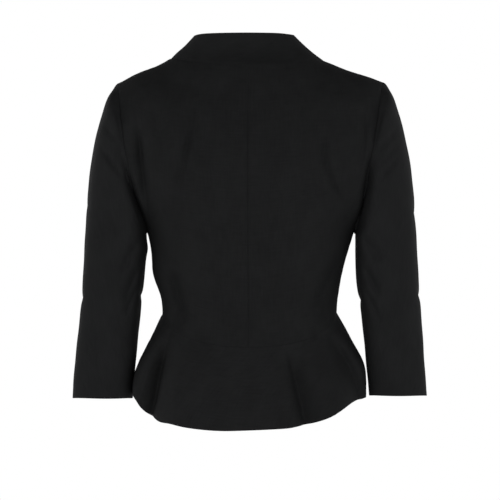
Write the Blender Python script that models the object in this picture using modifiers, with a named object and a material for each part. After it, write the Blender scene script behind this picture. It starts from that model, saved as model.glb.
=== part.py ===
"""A fitted jacket, filled out and hollow, with a funnel collar, set-in sleeves and a fluted peplum.

The tables are in millimetres and the model is in metres. +Z is up, the back of the jacket faces +Y,
its front faces -Y and the wearer's left is +X. The origin is the middle of the neck hole, level with
the points where the shoulder seams meet the collar.
"""

from collections import namedtuple

import bpy
import numpy as np

MM = 0.001

# Driving dimensions, in millimetres.
CLOTH = 1.2
SEAM_GAP = 0.35
SEAM_TURN = 3.0
LAP = 16.0
LAP_RISE = 1.8
LAP_RAMP_FAR = 55.0
LAP_RAMP_NEAR = 20.0
COLLAR_LEAN = 9.5
LEAN_FOOT = -20.0
LEAN_HEAD = 36.0
SLEEVE_HEAD = 4.0
SLEEVE_SQUARENESS = 0.45
LEFT_SLEEVE_DROP = 5.0
SLEEVE_FORK = -300.0
HEM_LIFT_POWER = 2.0
BELL_REACH = 1.04
BUTTON_RADIUS = 9.0
BUTTON_THICKNESS = 3.0
BUTTON_RIM = 1.4
BUTTON_DISH = 0.7
BUTTON_OFF_CLOTH = 0.6
BUTTON_TOP_Z = -76.0
BUTTON_PITCH = 61.0
BUTTON_COUNT = 5
MERGE_WITHIN = 0.02

# How finely the cloth is divided.
SHARES = np.array([0.0, 0.10, 0.20, 0.30, 0.40, 0.50, 0.60, 0.70, 0.80, 0.88, 0.94, 0.98, 1.0])
SIDE_LEVELS = np.array([0.6, 1.2, 2.0])
ARMHOLE_SHARES = np.array([0.0, 0.11, 0.22, 0.33, 0.44, 0.55, 0.66, 0.77, 0.88, 0.975, 1.0])
SHOULDER_LEVELS = np.array([10.3, 11.1, 12.0])
SLEEVE_LEVELS = np.concatenate([[0.0], np.arange(1.0, 5.0, 0.5), np.arange(5.0, 10.5)])
PEPLUM_DEPTHS = np.array([0.0, 0.024, 0.2, 0.4, 0.6, 0.8, 1.0])
COLLAR_HEIGHTS = np.array([0.0, 0.3, 0.65, 1.0])
FINE_COLUMNS = 51
FINE_ROWS = 120
EASING_PASSES = 24
UNEASED_EDGE = 0.14
BUTTON_SIDES = 16
RIM_STEPS = 3

# One row is a curve across half a panel, from the centre line to the outer edge. It leaves the centre
# line square to it, and arrives at the edge turned by "turn" degrees from straight across. "fullness"
# is how far it reaches towards its corner, and "rise" how steeply it is still climbing at the edge.
Row = namedtuple("Row", "place edge_x edge_y edge_z centre_y centre_z turn fullness rise")

BACK = (
    Row("waist seam", 128.0, -6.0, -373.0, 81.0, -421.0, 90.0, 0.57, 0.60),
    Row("hollow of the back", 130.0, -6.0, -350.0, 78.0, -384.0, 90.0, 0.57, 0.55),
    Row("ribs", 140.0, -6.0, -308.0, 89.5, -312.0, 90.0, 0.57, 0.40),
    Row("underarm", 154.0, -5.0, -252.0, 107.0, -210.0, 90.0, 0.57, 0.50),
    Row("low armhole", 153.5, 20.0, -242.0, 108.5, -192.0, 77.0, 0.57, 0.45),
    Row("lower armhole", 161.0, 45.0, -211.0, 109.5, -171.0, 66.0, 0.57, 0.30),
    Row("shoulder blade", 170.5, 57.5, -173.0, 109.0, -149.0, 59.0, 0.57, 0.20),
    Row("middle armhole", 179.5, 58.5, -138.0, 106.0, -127.0, 56.0, 0.57, 0.10),
    Row("upper armhole", 187.0, 50.0, -92.0, 99.5, -102.0, 54.0, 0.57, 0.0),
    Row("top of armhole", 192.5, 29.0, -51.0, 91.5, -77.0, 52.0, 0.57, -0.22),
    Row("shoulder tip", 195.0, -8.0, -31.0, 85.0, -59.0, 55.0, 0.57, -0.45),
    Row("middle of shoulder", 156.0, -11.0, -17.0, 76.5, -36.0, 80.0, 0.57, -0.16),
    Row("neck seam", 112.0, -12.0, 0.0, 66.0, -12.0, 90.0, 0.57, 0.0),
)

FRONT = (
    Row("waist seam", 128.0, -6.0, -373.0, -103.0, -347.0, 90.0, 0.60, 0.60),
    Row("hollow of the waist", 130.0, -6.0, -350.0, -105.5, -324.0, 90.0, 0.60, 0.55),
    Row("ribs", 140.0, -6.0, -308.0, -118.0, -274.0, 90.0, 0.62, 0.50),
    Row("underarm", 154.0, -5.0, -252.0, -127.0, -206.0, 90.0, 0.64, 0.50),
    Row("low armhole", 152.0, -33.0, -242.0, -125.5, -191.0, 77.0, 0.64, 0.45),
    Row("lower armhole", 154.5, -57.0, -212.0, -122.0, -174.0, 67.0, 0.63, 0.30),
    Row("chest", 162.0, -69.0, -175.0, -116.0, -156.0, 58.0, 0.62, 0.20),
    Row("middle armhole", 172.0, -69.0, -138.0, -108.5, -136.0, 54.0, 0.60, 0.10),
    Row("upper armhole", 183.0, -60.0, -92.0, -98.5, -112.0, 52.0, 0.58, 0.0),
    Row("top of armhole", 191.5, -40.0, -51.0, -89.0, -92.0, 50.0, 0.57, -0.10),
    Row("shoulder tip", 195.0, -8.0, -31.0, -82.0, -80.0, 54.0, 0.57, -0.20),
    Row("middle of shoulder", 156.0, -11.0, -17.0, -76.0, -70.0, 80.0, 0.57, -0.05),
    Row("neck seam", 112.0, -12.0, 0.0, -70.0, -60.0, 90.0, 0.57, 0.0),
)
UNDERARM = 3
SHOULDER_TIP = 10

BACK_HEM = Row("hem", 171.0, -8.0, -499.0, 116.0, -538.0, 90.0, 0.70, 0.15)
FRONT_HEM = Row("hem", 171.0, -8.0, -499.0, -146.0, -482.0, 90.0, 0.60, 0.45)
BACK_COLLAR_TOP = Row("collar top", 74.0, -10.0, 36.5, 50.0, 35.0, 90.0, 0.60, 0.0)
FRONT_COLLAR_TOP = Row("collar top", 74.0, -10.0, 36.5, -62.0, -14.0, 90.0, 0.57, 0.0)

# Flutes of the peplum. Their places run round the waist: 0 at the centre back, 1 at the left side
# seam, 2 at the centre front, and the same below zero on the wearer's right. "inner" is how far one
# spreads towards the centre back and "outer" how far away from it. A negative swell is a fold that
# sinks in.
Flute = namedtuple("Flute", "name at_waist at_hem inner outer swell")
FLUTES = (
    Flute("right back fold", -0.22, -0.26, 0.12, 0.26, -16.0),
    Flute("right back flute", -0.42, -0.45, 0.15, 0.17, 4.0),
    Flute("right side fold", -0.66, -0.75, 0.24, 0.25, -20.0),
    Flute("left back fold", 0.60, 0.53, 0.18, 0.36, -26.0),
    Flute("left side flute", 0.84, 0.82, 0.14, 0.16, 5.0),
    Flute("left front fold", 1.26, 1.29, 0.13, 0.13, -8.0),
    Flute("left front flute", 1.48, 1.52, 0.18, 0.18, 8.0),
    Flute("right front fold", -1.31, -1.35, 0.15, 0.15, -9.0),
    Flute("right front flute", -1.54, -1.58, 0.17, 0.17, 7.0),
)

# How far the hem rises above its even curve, at the same places round the waist.
HemLift = namedtuple("HemLift", "around lift")
HEM_LIFTS = (
    HemLift(-2.0, 0.0),
    HemLift(-1.58, 1.0),
    HemLift(-1.35, 3.0),
    HemLift(-1.15, 1.5),
    HemLift(-1.0, 1.0),
    HemLift(-0.9, 3.0),
    HemLift(-0.8, 5.2),
    HemLift(-0.7, 9.3),
    HemLift(-0.6, 10.6),
    HemLift(-0.5, 7.8),
    HemLift(-0.4, 4.1),
    HemLift(-0.3, 1.2),
    HemLift(-0.2, 0.9),
    HemLift(-0.1, 1.3),
    HemLift(0.0, 0.9),
    HemLift(0.1, -0.9),
    HemLift(0.2, -2.2),
    HemLift(0.3, -3.4),
    HemLift(0.4, -4.1),
    HemLift(0.5, -8.0),
    HemLift(0.6, -6.6),
    HemLift(0.7, -2.0),
    HemLift(0.8, 4.6),
    HemLift(0.9, 5.0),
    HemLift(1.0, 4.0),
    HemLift(1.15, 2.0),
    HemLift(1.52, 2.0),
    HemLift(2.0, 0.0),
)

# Places where the worn jacket differs from its even form: each moves the cloth by "move" at "middle",
# and dies away over "reach" along each axis. Pieces that meet share the nudges at their seam.
Nudge = namedtuple("Nudge", "name middle reach move")
NECK_NUDGES = (
    Nudge("left slope of the funnel", (116.0, -12.0, 4.0), (26.0, 70.0, 20.0), (3.0, 0.0, 4.0)),
    Nudge("left shoulder", (160.0, -11.0, -18.0), (26.0, 60.0, 25.0), (0.0, 0.0, 3.0)),
    Nudge("right shoulder", (-146.0, -11.0, -14.0), (40.0, 60.0, 25.0), (0.0, 0.0, -2.4)),
)
SHOULDER_NUDGES = NECK_NUDGES + (
    Nudge("left shoulder tip", (197.0, -8.0, -31.0), (14.0, 45.0, 16.0), (0.0, 0.0, -2.0)),
    Nudge("right shoulder tip", (-197.0, -8.0, -31.0), (14.0, 45.0, 16.0), (0.0, 0.0, -1.5)),
)
WAIST_NUDGES = (
    Nudge("left end of the waist", (128.0, -6.0, -376.0), (32.0, 50.0, 26.0), (2.5, 0.0, 0.0)),
)
BODICE_NUDGES = SHOULDER_NUDGES + WAIST_NUDGES + (
    Nudge("left side", (140.0, -5.0, -321.0), (60.0, 70.0, 27.0), (7.0, 0.0, 0.0)),
    Nudge("right side", (-140.0, -5.0, -306.0), (60.0, 70.0, 30.0), (2.0, 0.0, 0.0)),
)
SLEEVE_NUDGES = SHOULDER_NUDGES + (
    Nudge("left cuff", (262.0, -25.0, -500.0), (50.0, 90.0, 110.0), (4.5, 0.0, 0.0)),
    Nudge("left inner arm", (156.0, -8.0, -278.0), (22.0, 50.0, 11.0), (-2.0, 0.0, 0.0)),
    Nudge("right inner arm", (-157.0, -8.0, -326.0), (26.0, 60.0, 30.0), (2.5, 0.0, 0.0)),
)
PEPLUM_NUDGES = WAIST_NUDGES + (
    Nudge("left side", (170.0, -8.0, -470.0), (60.0, 70.0, 42.0), (5.0, 0.0, 0.0)),
    Nudge("right side", (-158.0, -8.0, -450.0), (50.0, 60.0, 30.0), (-5.0, 0.0, 0.0)),
)

# Rings of the sleeve below the armhole. "outer" and "inner" are the ring's farthest points from and
# nearest points to the body, "half_depth" its reach front and back of "middle_y", and "tilt" how far
# its back edge stands above its middle.
Ring = namedtuple("Ring", "place outer_x outer_z inner_x inner_z middle_y half_depth tilt")
SLEEVE = (
    Ring("sleeve head", 206.5, -46.0, 154.6, -255.5, -6.0, 65.0, 0.0),
    Ring("top of the cap", 220.0, -80.0, 154.8, -262.0, -6.0, 65.0, 0.0),
    Ring("middle of the cap", 232.5, -130.0, 155.0, -272.0, -6.0, 62.0, 0.0),
    Ring("foot of the cap", 240.5, -188.0, 155.4, -286.0, -6.5, 57.5, 0.0),
    Ring("upper arm", 245.0, -252.0, 157.0, -308.0, -8.0, 52.5, 0.0),
    Ring("above the elbow", 248.5, -308.0, 160.5, -340.0, -10.0, 48.0, 0.5),
    Ring("elbow", 252.0, -362.0, 164.5, -379.0, -13.0, 44.0, 1.5),
    Ring("below the elbow", 256.5, -420.0, 169.5, -426.0, -17.5, 40.0, 2.5),
    Ring("cuff", 262.0, -497.0, 176.5, -497.0, -25.0, 35.5, 3.3),
)

Finish = namedtuple("Finish", "name colour roughness")
SUITING = Finish("black suiting", (0.013, 0.0135, 0.014, 1.0), 0.72)
BUTTON_RESIN = Finish("black button resin", (0.010, 0.010, 0.011, 1.0), 0.35)

LEFT = 1
RIGHT = -1


def smooth_step(share):
    """Rise from 0 to 1 with a level start and end."""
    share = np.clip(share, 0.0, 1.0)
    return share * share * (3.0 - 2.0 * share)


def through(knots, values, at):
    """Read a smooth curve that passes through a value at each knot, with cubics between them."""
    values = np.asarray(values, dtype=float)
    slopes = np.gradient(values, knots, axis=0, edge_order=2)
    piece = np.clip(np.searchsorted(knots, at, side="right") - 1, 0, len(knots) - 2)
    span = knots[piece + 1] - knots[piece]
    part = (at - knots[piece]) / span
    shape = (-1,) + (1,) * (values.ndim - 1)
    span = span.reshape(shape)
    part = part.reshape(shape)
    start = values[piece] * (1.0 + 2.0 * part) * (1.0 - part) ** 2
    end = values[piece + 1] * part * part * (3.0 - 2.0 * part)
    leave = slopes[piece] * span * part * (1.0 - part) ** 2
    arrive = slopes[piece + 1] * span * part * part * (part - 1.0)
    return start + end + leave + arrive


def column(table, name):
    """One named column of a table as an array."""
    return np.array([getattr(row, name) for row in table])


def row_knots(table):
    """Distances up a panel at its rows: the mean of those along its centre line and its edge."""
    centre = np.stack([column(table, "centre_y"), column(table, "centre_z")], axis=1)
    edge = np.stack([column(table, name) for name in ("edge_x", "edge_y", "edge_z")], axis=1)
    centre_steps = np.linalg.norm(np.diff(centre, axis=0), axis=1)
    edge_steps = np.linalg.norm(np.diff(edge, axis=0), axis=1)
    return np.concatenate([[0.0], np.cumsum(0.5 * (centre_steps + edge_steps))])


def armhole_edge(table, name, at):
    """A column of the edge along the armhole, which carries on round into the other panel's edge."""
    other = FRONT if table is BACK else BACK
    knots = row_knots(table)
    beyond = row_knots(other)
    below = knots[UNDERARM] - (beyond[UNDERARM + 1] - beyond[UNDERARM])
    above = knots[SHOULDER_TIP] + (beyond[SHOULDER_TIP] - beyond[SHOULDER_TIP - 1])
    ring_knots = np.concatenate([[below], knots[UNDERARM : SHOULDER_TIP + 1], [above]])
    values = column(table, name)[UNDERARM : SHOULDER_TIP + 1]
    first = getattr(other[UNDERARM + 1], name)
    last = getattr(other[SHOULDER_TIP - 1], name)
    return through(ring_knots, np.concatenate([[first], values, [last]]), at)


def rows_at(table, levels):
    """Columns of a panel's table read smoothly at fractional row numbers.

    The outer edge has corners at the underarm and at the shoulder tip, so its columns are read in
    three stretches: the side seam, the armhole and the shoulder seam.
    """
    knots = row_knots(table)
    at = np.interp(levels, np.arange(len(table)), knots)
    read = {}
    for name in ("centre_y", "centre_z", "turn", "fullness", "rise"):
        read[name] = through(knots, column(table, name), at)
    on_side_seam = levels < UNDERARM
    on_shoulder = levels > SHOULDER_TIP
    on_armhole = ~(on_side_seam | on_shoulder)
    side_rows = np.s_[: UNDERARM + 1]
    shoulder_rows = np.s_[SHOULDER_TIP:]
    for name in ("edge_x", "edge_y", "edge_z"):
        values = column(table, name)
        read[name] = np.empty(len(levels))
        read[name][on_side_seam] = through(knots[side_rows], values[side_rows], at[on_side_seam])
        read[name][on_armhole] = armhole_edge(table, name, at[on_armhole])
        read[name][on_shoulder] = through(knots[shoulder_rows], values[shoulder_rows], at[on_shoulder])
    return read


def row_columns(row):
    """A single row in the form that rows_at gives."""
    return {name: np.array([getattr(row, name)]) for name in Row._fields[1:]}


def across(rows, shares):
    """Points of each row at shares of the way from the centre line (0) to the edge (1).

    A row is a cubic curve. Its corner is where the line square to the centre line meets the line on
    which the row arrives at its edge, and both inner control points lie towards that corner.
    """
    turn = np.radians(rows["turn"])
    reach = (rows["centre_y"] - rows["edge_y"]) / np.tan(turn)
    corner_x = rows["edge_x"] - np.abs(reach)
    full = rows["fullness"]
    zero = np.zeros_like(full)
    climb = rows["edge_z"] - rows["centre_z"]
    start = np.stack([zero, rows["centre_y"], rows["centre_z"]], axis=1)
    leave = np.stack([full * corner_x, rows["centre_y"], rows["centre_z"]], axis=1)
    arrive = np.stack(
        [
            rows["edge_x"] + full * (corner_x - rows["edge_x"]),
            rows["edge_y"] + full * (rows["centre_y"] - rows["edge_y"]),
            rows["edge_z"] - rows["rise"] * climb,
        ],
        axis=1,
    )
    end = np.stack([rows["edge_x"], rows["edge_y"], rows["edge_z"]], axis=1)
    s = np.asarray(shares)[None, :, None]
    return (
        start[:, None] * (1.0 - s) ** 3
        + leave[:, None] * 3.0 * s * (1.0 - s) ** 2
        + arrive[:, None] * 3.0 * s * s * (1.0 - s)
        + end[:, None] * s**3
    )


def with_lap(grid):
    """Add the strip by which a front runs on past the centre line, a mirror image of the cloth there."""
    share = (LAP / (grid[:, 1:2, 0] - grid[:, :1, 0]))[..., None]
    strip = grid[:, :1] + (grid[:, 1:2] - grid[:, :1]) * share
    strip[..., 0] = -LAP
    return np.concatenate([strip, grid], axis=1)


def on_side(grid, side):
    """The grid of the wearer's left half, or its mirror image on the right."""
    return grid * np.array([side, 1.0, 1.0])


def lifted_lap(grid, side):
    """Raise the right front's pieces where they lie over the left ones."""
    if side == LEFT:
        return grid
    lifted = grid.copy()
    share = (grid[..., 0] + LAP_RAMP_FAR) / (LAP_RAMP_FAR - LAP_RAMP_NEAR)
    lifted[..., 1] -= LAP_RISE * smooth_step(share)
    return lifted


def leaning(points):
    """Lean the collar towards the wearer's left, as it is worn."""
    leant = points.copy()
    share = (points[..., 2] - LEAN_FOOT) / (LEAN_HEAD - LEAN_FOOT)
    leant[..., 0] += COLLAR_LEAN * smooth_step(share)
    return leant


def nudged(points, nudges):
    """Move points by the sum of the nudges, each a bell curve in space."""
    moved = points.copy()
    for nudge in nudges:
        away = (points - np.array(nudge.middle)) / np.array(nudge.reach)
        moved += np.exp(-np.sum(away * away, axis=-1))[..., None] * np.array(nudge.move)
    return moved


def trimmed(grid, first_row=False, last_row=False, first_column=False, last_column=False):
    """Draw edges back by half a seam gap, along the cloth."""
    cut = grid.copy()
    edges = (
        (first_row, np.s_[0], np.s_[1]),
        (last_row, np.s_[-1], np.s_[-2]),
        (first_column, np.s_[:, 0], np.s_[:, 1]),
        (last_column, np.s_[:, -1], np.s_[:, -2]),
    )
    for wanted, edge, neighbour in edges:
        if wanted:
            way = cut[neighbour] - cut[edge]
            cut[edge] += way / np.linalg.norm(way, axis=-1, keepdims=True) * SEAM_GAP / 2.0
    return cut


def armhole_levels():
    """Row numbers of a panel from the underarm to the shoulder tip."""
    return UNDERARM + (SHOULDER_TIP - UNDERARM) * ARMHOLE_SHARES


def panel_levels():
    """Row numbers of a panel: a narrow one at the waist seam, then up the side, armhole and shoulder."""
    seam = SEAM_TURN / row_knots(BACK)[1]
    return np.concatenate([[0.0, seam], SIDE_LEVELS, armhole_levels(), SHOULDER_LEVELS])


def panel(table):
    """Grid of one half of the back or front on the wearer's left, from the waist up to the neck seam.

    The rows fan at the corners of the underarm and of the shoulder tip. Cloth has no crease there, so
    each point is eased towards the mean of the points above and below it, less near the outer edge.
    """
    heights = np.linspace(0.0, row_knots(table)[-1], FINE_ROWS)
    fine_levels = np.interp(heights, row_knots(table), np.arange(len(table)))
    fine_shares = np.linspace(0.0, 1.0, FINE_COLUMNS)
    fine = across(rows_at(table, fine_levels), fine_shares)
    ease = 0.5 * smooth_step((1.0 - fine_shares) / UNEASED_EDGE)[:, None]
    for _ in range(EASING_PASSES):
        above_and_below = 0.5 * (fine[:-2] + fine[2:])
        fine[1:-1] += ease * (above_and_below - fine[1:-1])
    levels = panel_levels()
    columns = np.round(SHARES * (FINE_COLUMNS - 1)).astype(int)
    grid = through(fine_levels, fine[:, columns], levels)
    grid[:, -1] = across(rows_at(table, levels), SHARES[-1:])[:, 0]
    grid[1, :, :2] = grid[0, :, :2]
    return grid


PANELS = {"back": panel(BACK), "front": panel(FRONT)}


def bodice_half(name, side):
    """Grid of one of the four pieces of the bodice."""
    front = name == "front"
    grid = with_lap(PANELS[name]) if front else PANELS[name]
    return nudged(leaning(lifted_lap(on_side(grid, side), side if front else LEFT)), BODICE_NUDGES)


def flute_shape(around, depth):
    """Swell and lift of the flutes at places round the waist and shares of the peplum's depth."""
    swell = np.zeros(np.broadcast(around, depth).shape)
    for flute in FLUTES:
        line = flute.at_waist + (flute.at_hem - flute.at_waist) * depth
        away = (around - line) * np.sign(flute.at_hem)
        away = np.clip(np.where(away < 0.0, away / flute.inner, away / flute.outer), -1.0, 1.0)
        swell += flute.swell * np.cos(0.5 * np.pi * away) ** 2
    lift = through(column(HEM_LIFTS, "around"), column(HEM_LIFTS, "lift"), around)
    return swell * depth, lift * depth**HEM_LIFT_POWER


def peplum_quarter(name, side):
    """Grid of a quarter of the peplum, from the waist seam down, its columns from the centre out.

    It leaves the seam straight down, then bells out sideways to the hem as a quarter of a sine wave
    and evenly in depth. The flutes swell straight back at the back, and along the outward direction
    of the hem's curve at the front.
    """
    front = name == "front"
    waist = PANELS[name][:1]
    bottom = across(row_columns(FRONT_HEM if front else BACK_HEM), SHARES)
    around = 2.0 - SHARES if front else SHARES
    out = np.array([[0.0, 1.0]])
    if front:
        waist = with_lap(waist)
        bottom = with_lap(bottom)
        around = np.concatenate([[2.0], around])
        along = np.gradient(bottom[0, :, :2], axis=0)
        out = np.stack([along[:, 1], -along[:, 0]], axis=1)
        out /= np.linalg.norm(out, axis=1, keepdims=True)
    depth = PEPLUM_DEPTHS[:, None]
    bell = np.sin(0.5 * np.pi * np.clip((depth - PEPLUM_DEPTHS[1]) * BELL_REACH, 0.0, 1.0))
    spread = np.stack([bell, depth], axis=-1)
    swell, lift = flute_shape(around * side, depth)
    grid = np.empty((len(PEPLUM_DEPTHS), len(around), 3))
    grid[..., :2] = waist[..., :2] + (bottom - waist)[..., :2] * spread
    grid[..., :2] += out[None] * swell[..., None]
    grid[..., 2] = waist[..., 2] + (bottom - waist)[..., 2] * depth + lift
    return nudged(lifted_lap(on_side(grid, side), side if front else LEFT), PEPLUM_NUDGES)


def round_the_neck(front, back):
    """One half of a curve round the neck, from its lapped end at the front to the centre back."""
    return np.concatenate([with_lap(front), back[:, -2::-1]], axis=1)


def collar_ring():
    """Grid of the collar, from its left end under the lap, round the back, to its right end."""
    base = round_the_neck(PANELS["front"][-1:], PANELS["back"][-1:])
    top_front = across(row_columns(FRONT_COLLAR_TOP), SHARES)
    top_back = across(row_columns(BACK_COLLAR_TOP), SHARES)
    half = base + (round_the_neck(top_front, top_back) - base) * COLLAR_HEIGHTS[:, None, None]
    left = half
    right = on_side(half, RIGHT)
    front_columns = len(SHARES) + 1
    right[:, :front_columns] = lifted_lap(right[:, :front_columns], RIGHT)
    return nudged(leaning(np.concatenate([left, right[:, -2::-1]], axis=1)), NECK_NUDGES)


def armhole_ring():
    """The left armhole's points and the panels' outward directions there.

    They run from the shoulder tip down the back edge to the underarm and up the front edge.
    """
    first = len(panel_levels()) - len(SHOULDER_LEVELS) - len(ARMHOLE_SHARES)
    rows = np.s_[first : first + len(ARMHOLE_SHARES)]
    points = []
    normals = []
    for name, facing, order in (("back", 1.0, np.s_[::-1]), ("front", -1.0, np.s_[1:-1])):
        edge = PANELS[name][rows, -1]
        along = edge - PANELS[name][rows, -2]
        normal = np.cross(np.gradient(edge, axis=0), along) * facing
        points.append(edge[order])
        normals.append((normal / np.linalg.norm(normal, axis=1, keepdims=True))[order])
    return np.concatenate(points), np.concatenate(normals)


def sleeve_rings(side):
    """Stations of the sleeve: the armhole, a narrow ring that carries on from it, and the table's.

    The narrow ring leaves the armhole towards the first ring of the table, but never dips below the
    shoulder's own surface, so that the sleeve head rolls over the seam.
    """
    angle = np.pi * np.concatenate([1.0 - ARMHOLE_SHARES[::-1], 1.0 + ARMHOLE_SHARES[1:-1]])
    armhole, normals = armhole_ring()
    rings = [armhole]
    for row in SLEEVE:
        outer = np.array([row.outer_x, row.middle_y, row.outer_z])
        inner = np.array([row.inner_x, row.middle_y, row.inner_z])
        ring = 0.5 * (outer + inner) + 0.5 * (outer - inner) * np.cos(angle)[:, None]
        ring[:, 1] += row.half_depth * np.sin(angle) * (1.0 + SLEEVE_SQUARENESS * np.cos(angle) ** 2)
        ring[:, 2] += row.tilt * np.sin(angle)
        if side == LEFT:
            drop = np.clip((SLEEVE_FORK - ring[:, 2]) / (SLEEVE_FORK - SLEEVE[-1].outer_z), 0.0, 1.0)
            ring[:, 2] -= LEFT_SLEEVE_DROP * drop
        rings.append(ring)
    way = rings[1] - rings[0]
    way /= np.linalg.norm(way, axis=1, keepdims=True)
    way -= np.minimum(np.sum(way * normals, axis=1, keepdims=True), 0.0) * normals
    way /= np.linalg.norm(way, axis=1, keepdims=True)
    rings.insert(1, rings[0] + way * SLEEVE_HEAD)
    return on_side(np.array(rings), side)


def sleeve_tube(side):
    """Grid of a sleeve, from the armhole down to the cuff."""
    rings = sleeve_rings(side)
    steps = np.linalg.norm(np.diff(rings, axis=0), axis=2).mean(axis=1)
    knots = np.concatenate([[0.0], np.cumsum(steps)])
    at = np.interp(SLEEVE_LEVELS, np.arange(len(knots)), knots)
    return nudged(through(knots, rings, at), SLEEVE_NUDGES)


def grid_faces(rows, columns, closed, flip):
    """Quads of a grid of points, joined round where it is a tube."""
    faces = []
    for row in range(rows - 1):
        for start in range(columns if closed else columns - 1):
            end = (start + 1) % columns
            quad = [row * columns + start, row * columns + end, (row + 1) * columns + end]
            quad.append((row + 1) * columns + start)
            faces.append(quad[::-1] if flip else quad)
    return faces


def finish_material(finish):
    """A plain surface of one colour and roughness."""
    material = bpy.data.materials.new(finish.name)
    material.use_nodes = True
    shader = material.node_tree.nodes["Principled BSDF"]
    shader.inputs["Base Color"].default_value = finish.colour
    shader.inputs["Roughness"].default_value = finish.roughness
    shader.inputs["Metallic"].default_value = 0.0
    return material


def cloth_piece(name, grid, flip, collection, closed=False):
    """A piece of cloth: an open surface through a grid of points, thickened inwards."""
    rows, columns = grid.shape[:2]
    mesh = bpy.data.meshes.new(name)
    points = (grid.reshape(-1, 3) * MM).tolist()
    mesh.from_pydata(points, [], grid_faces(rows, columns, closed, flip))
    mesh.shade_smooth()
    mesh.materials.append(finish_material(SUITING))
    piece = bpy.data.objects.new(name, mesh)
    collection.objects.link(piece)
    wall = piece.modifiers.new("cloth", "SOLIDIFY")
    wall.thickness = CLOTH * MM
    wall.offset = -1.0
    return piece


def make_bodice(collection):
    """The two backs and the two fronts."""
    for side, word in ((LEFT, "left"), (RIGHT, "right")):
        back = bodice_half("back", side)
        back = trimmed(back, first_row=True, last_row=True, first_column=True, last_column=True)
        cloth_piece("back_" + word, back, side == LEFT, collection)
        front = bodice_half("front", side)
        front = trimmed(front, first_row=True, last_row=True, last_column=True)
        cloth_piece("front_" + word, front, side == RIGHT, collection)


def make_sleeves(collection):
    """The two sleeves, open at the armhole and at the cuff."""
    for side, word in ((LEFT, "left"), (RIGHT, "right")):
        tube = trimmed(sleeve_tube(side), first_row=True)
        cloth_piece("sleeve_" + word, tube, side == LEFT, collection, closed=True)


def make_collar(collection):
    """The funnel collar."""
    cloth_piece("collar", trimmed(collar_ring(), first_row=True), False, collection)


def make_peplum(collection):
    """The back peplum, and the two front ones that meet it at the side seams."""
    left = peplum_quarter("back", LEFT)
    right = peplum_quarter("back", RIGHT)
    back = np.concatenate([left[:, ::-1], right[:, 1:]], axis=1)
    back = trimmed(back, first_row=True, first_column=True, last_column=True)
    cloth_piece("peplum_back", back, True, collection)
    for side, word in ((LEFT, "left"), (RIGHT, "right")):
        front = trimmed(peplum_quarter("front", side), first_row=True, last_column=True)
        cloth_piece("peplum_front_" + word, front, side == LEFT, collection)


def button_profile():
    """Half outline of a button, from the middle of its face, over its rim, to the middle of its back."""
    face = BUTTON_THICKNESS - BUTTON_DISH
    profile = [(0.0, face), (BUTTON_RADIUS - 2.0 * BUTTON_RIM, face)]
    for angle in np.linspace(0.0, 0.5 * np.pi, RIM_STEPS):
        radius = BUTTON_RADIUS - BUTTON_RIM * (1.0 - np.sin(angle))
        profile.append((radius, BUTTON_THICKNESS - BUTTON_RIM * (1.0 - np.cos(angle))))
    return profile + [(BUTTON_RADIUS - BUTTON_RIM, 0.0), (0.0, 0.0)]


def make_buttons(collection):
    """Buttons down the centre front, each square to the lapped cloth under it."""
    line_y = PANELS["front"][:, 0, 1]
    line_z = PANELS["front"][:, 0, 2]
    profile = button_profile()
    for number in range(BUTTON_COUNT):
        height = BUTTON_TOP_Z - BUTTON_PITCH * number
        depth = np.interp(height, line_z, line_y)
        slope = np.interp(height, line_z, np.gradient(line_y, line_z))
        name = "button_%d" % (number + 1)
        mesh = bpy.data.meshes.new(name)
        points = [(radius * MM, 0.0, rise * MM) for radius, rise in profile]
        mesh.from_pydata(points, [(n, n + 1) for n in range(len(points) - 1)], [])
        mesh.materials.append(finish_material(BUTTON_RESIN))
        button = bpy.data.objects.new(name, mesh)
        collection.objects.link(button)
        turned = button.modifiers.new("turned", "SCREW")
        turned.steps = BUTTON_SIDES
        turned.render_steps = BUTTON_SIDES
        turned.use_merge_vertices = True
        turned.merge_threshold = MERGE_WITHIN * MM
        off = LAP_RISE + BUTTON_OFF_CLOTH
        tilt = np.arctan(slope)
        button.location = (0.0, (depth - off * np.cos(tilt)) * MM, (height + off * np.sin(tilt)) * MM)
        button.rotation_euler = (0.5 * np.pi - tilt, 0.0, 0.0)


def main():
    """Clear the scene and make the jacket."""
    for old in list(bpy.data.objects):
        bpy.data.objects.remove(old, do_unlink=True)
    jacket = bpy.data.collections.new("jacket")
    bpy.context.scene.collection.children.link(jacket)
    make_bodice(jacket)
    make_sleeves(jacket)
    make_collar(jacket)
    make_peplum(jacket)
    make_buttons(jacket)


main()
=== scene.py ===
"""Looks of a fitted black jacket: cloth shells with creases, seams and turned hems, and its buttons.

Tables and forms are in millimetres and meshes in metres. +Z is up, the back of the jacket faces +Y,
its front faces -Y and the wearer's left is +X. Each form follows that of the part's solid, more
finely, but the armholes stand a little farther out and the peplum's folds are sharper, as in the
photo. Creases are then pressed into it, drawn after the photo at the back and guessed elsewhere.
"""

import logging
from dataclasses import dataclass, fields, replace
from enum import Enum

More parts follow.
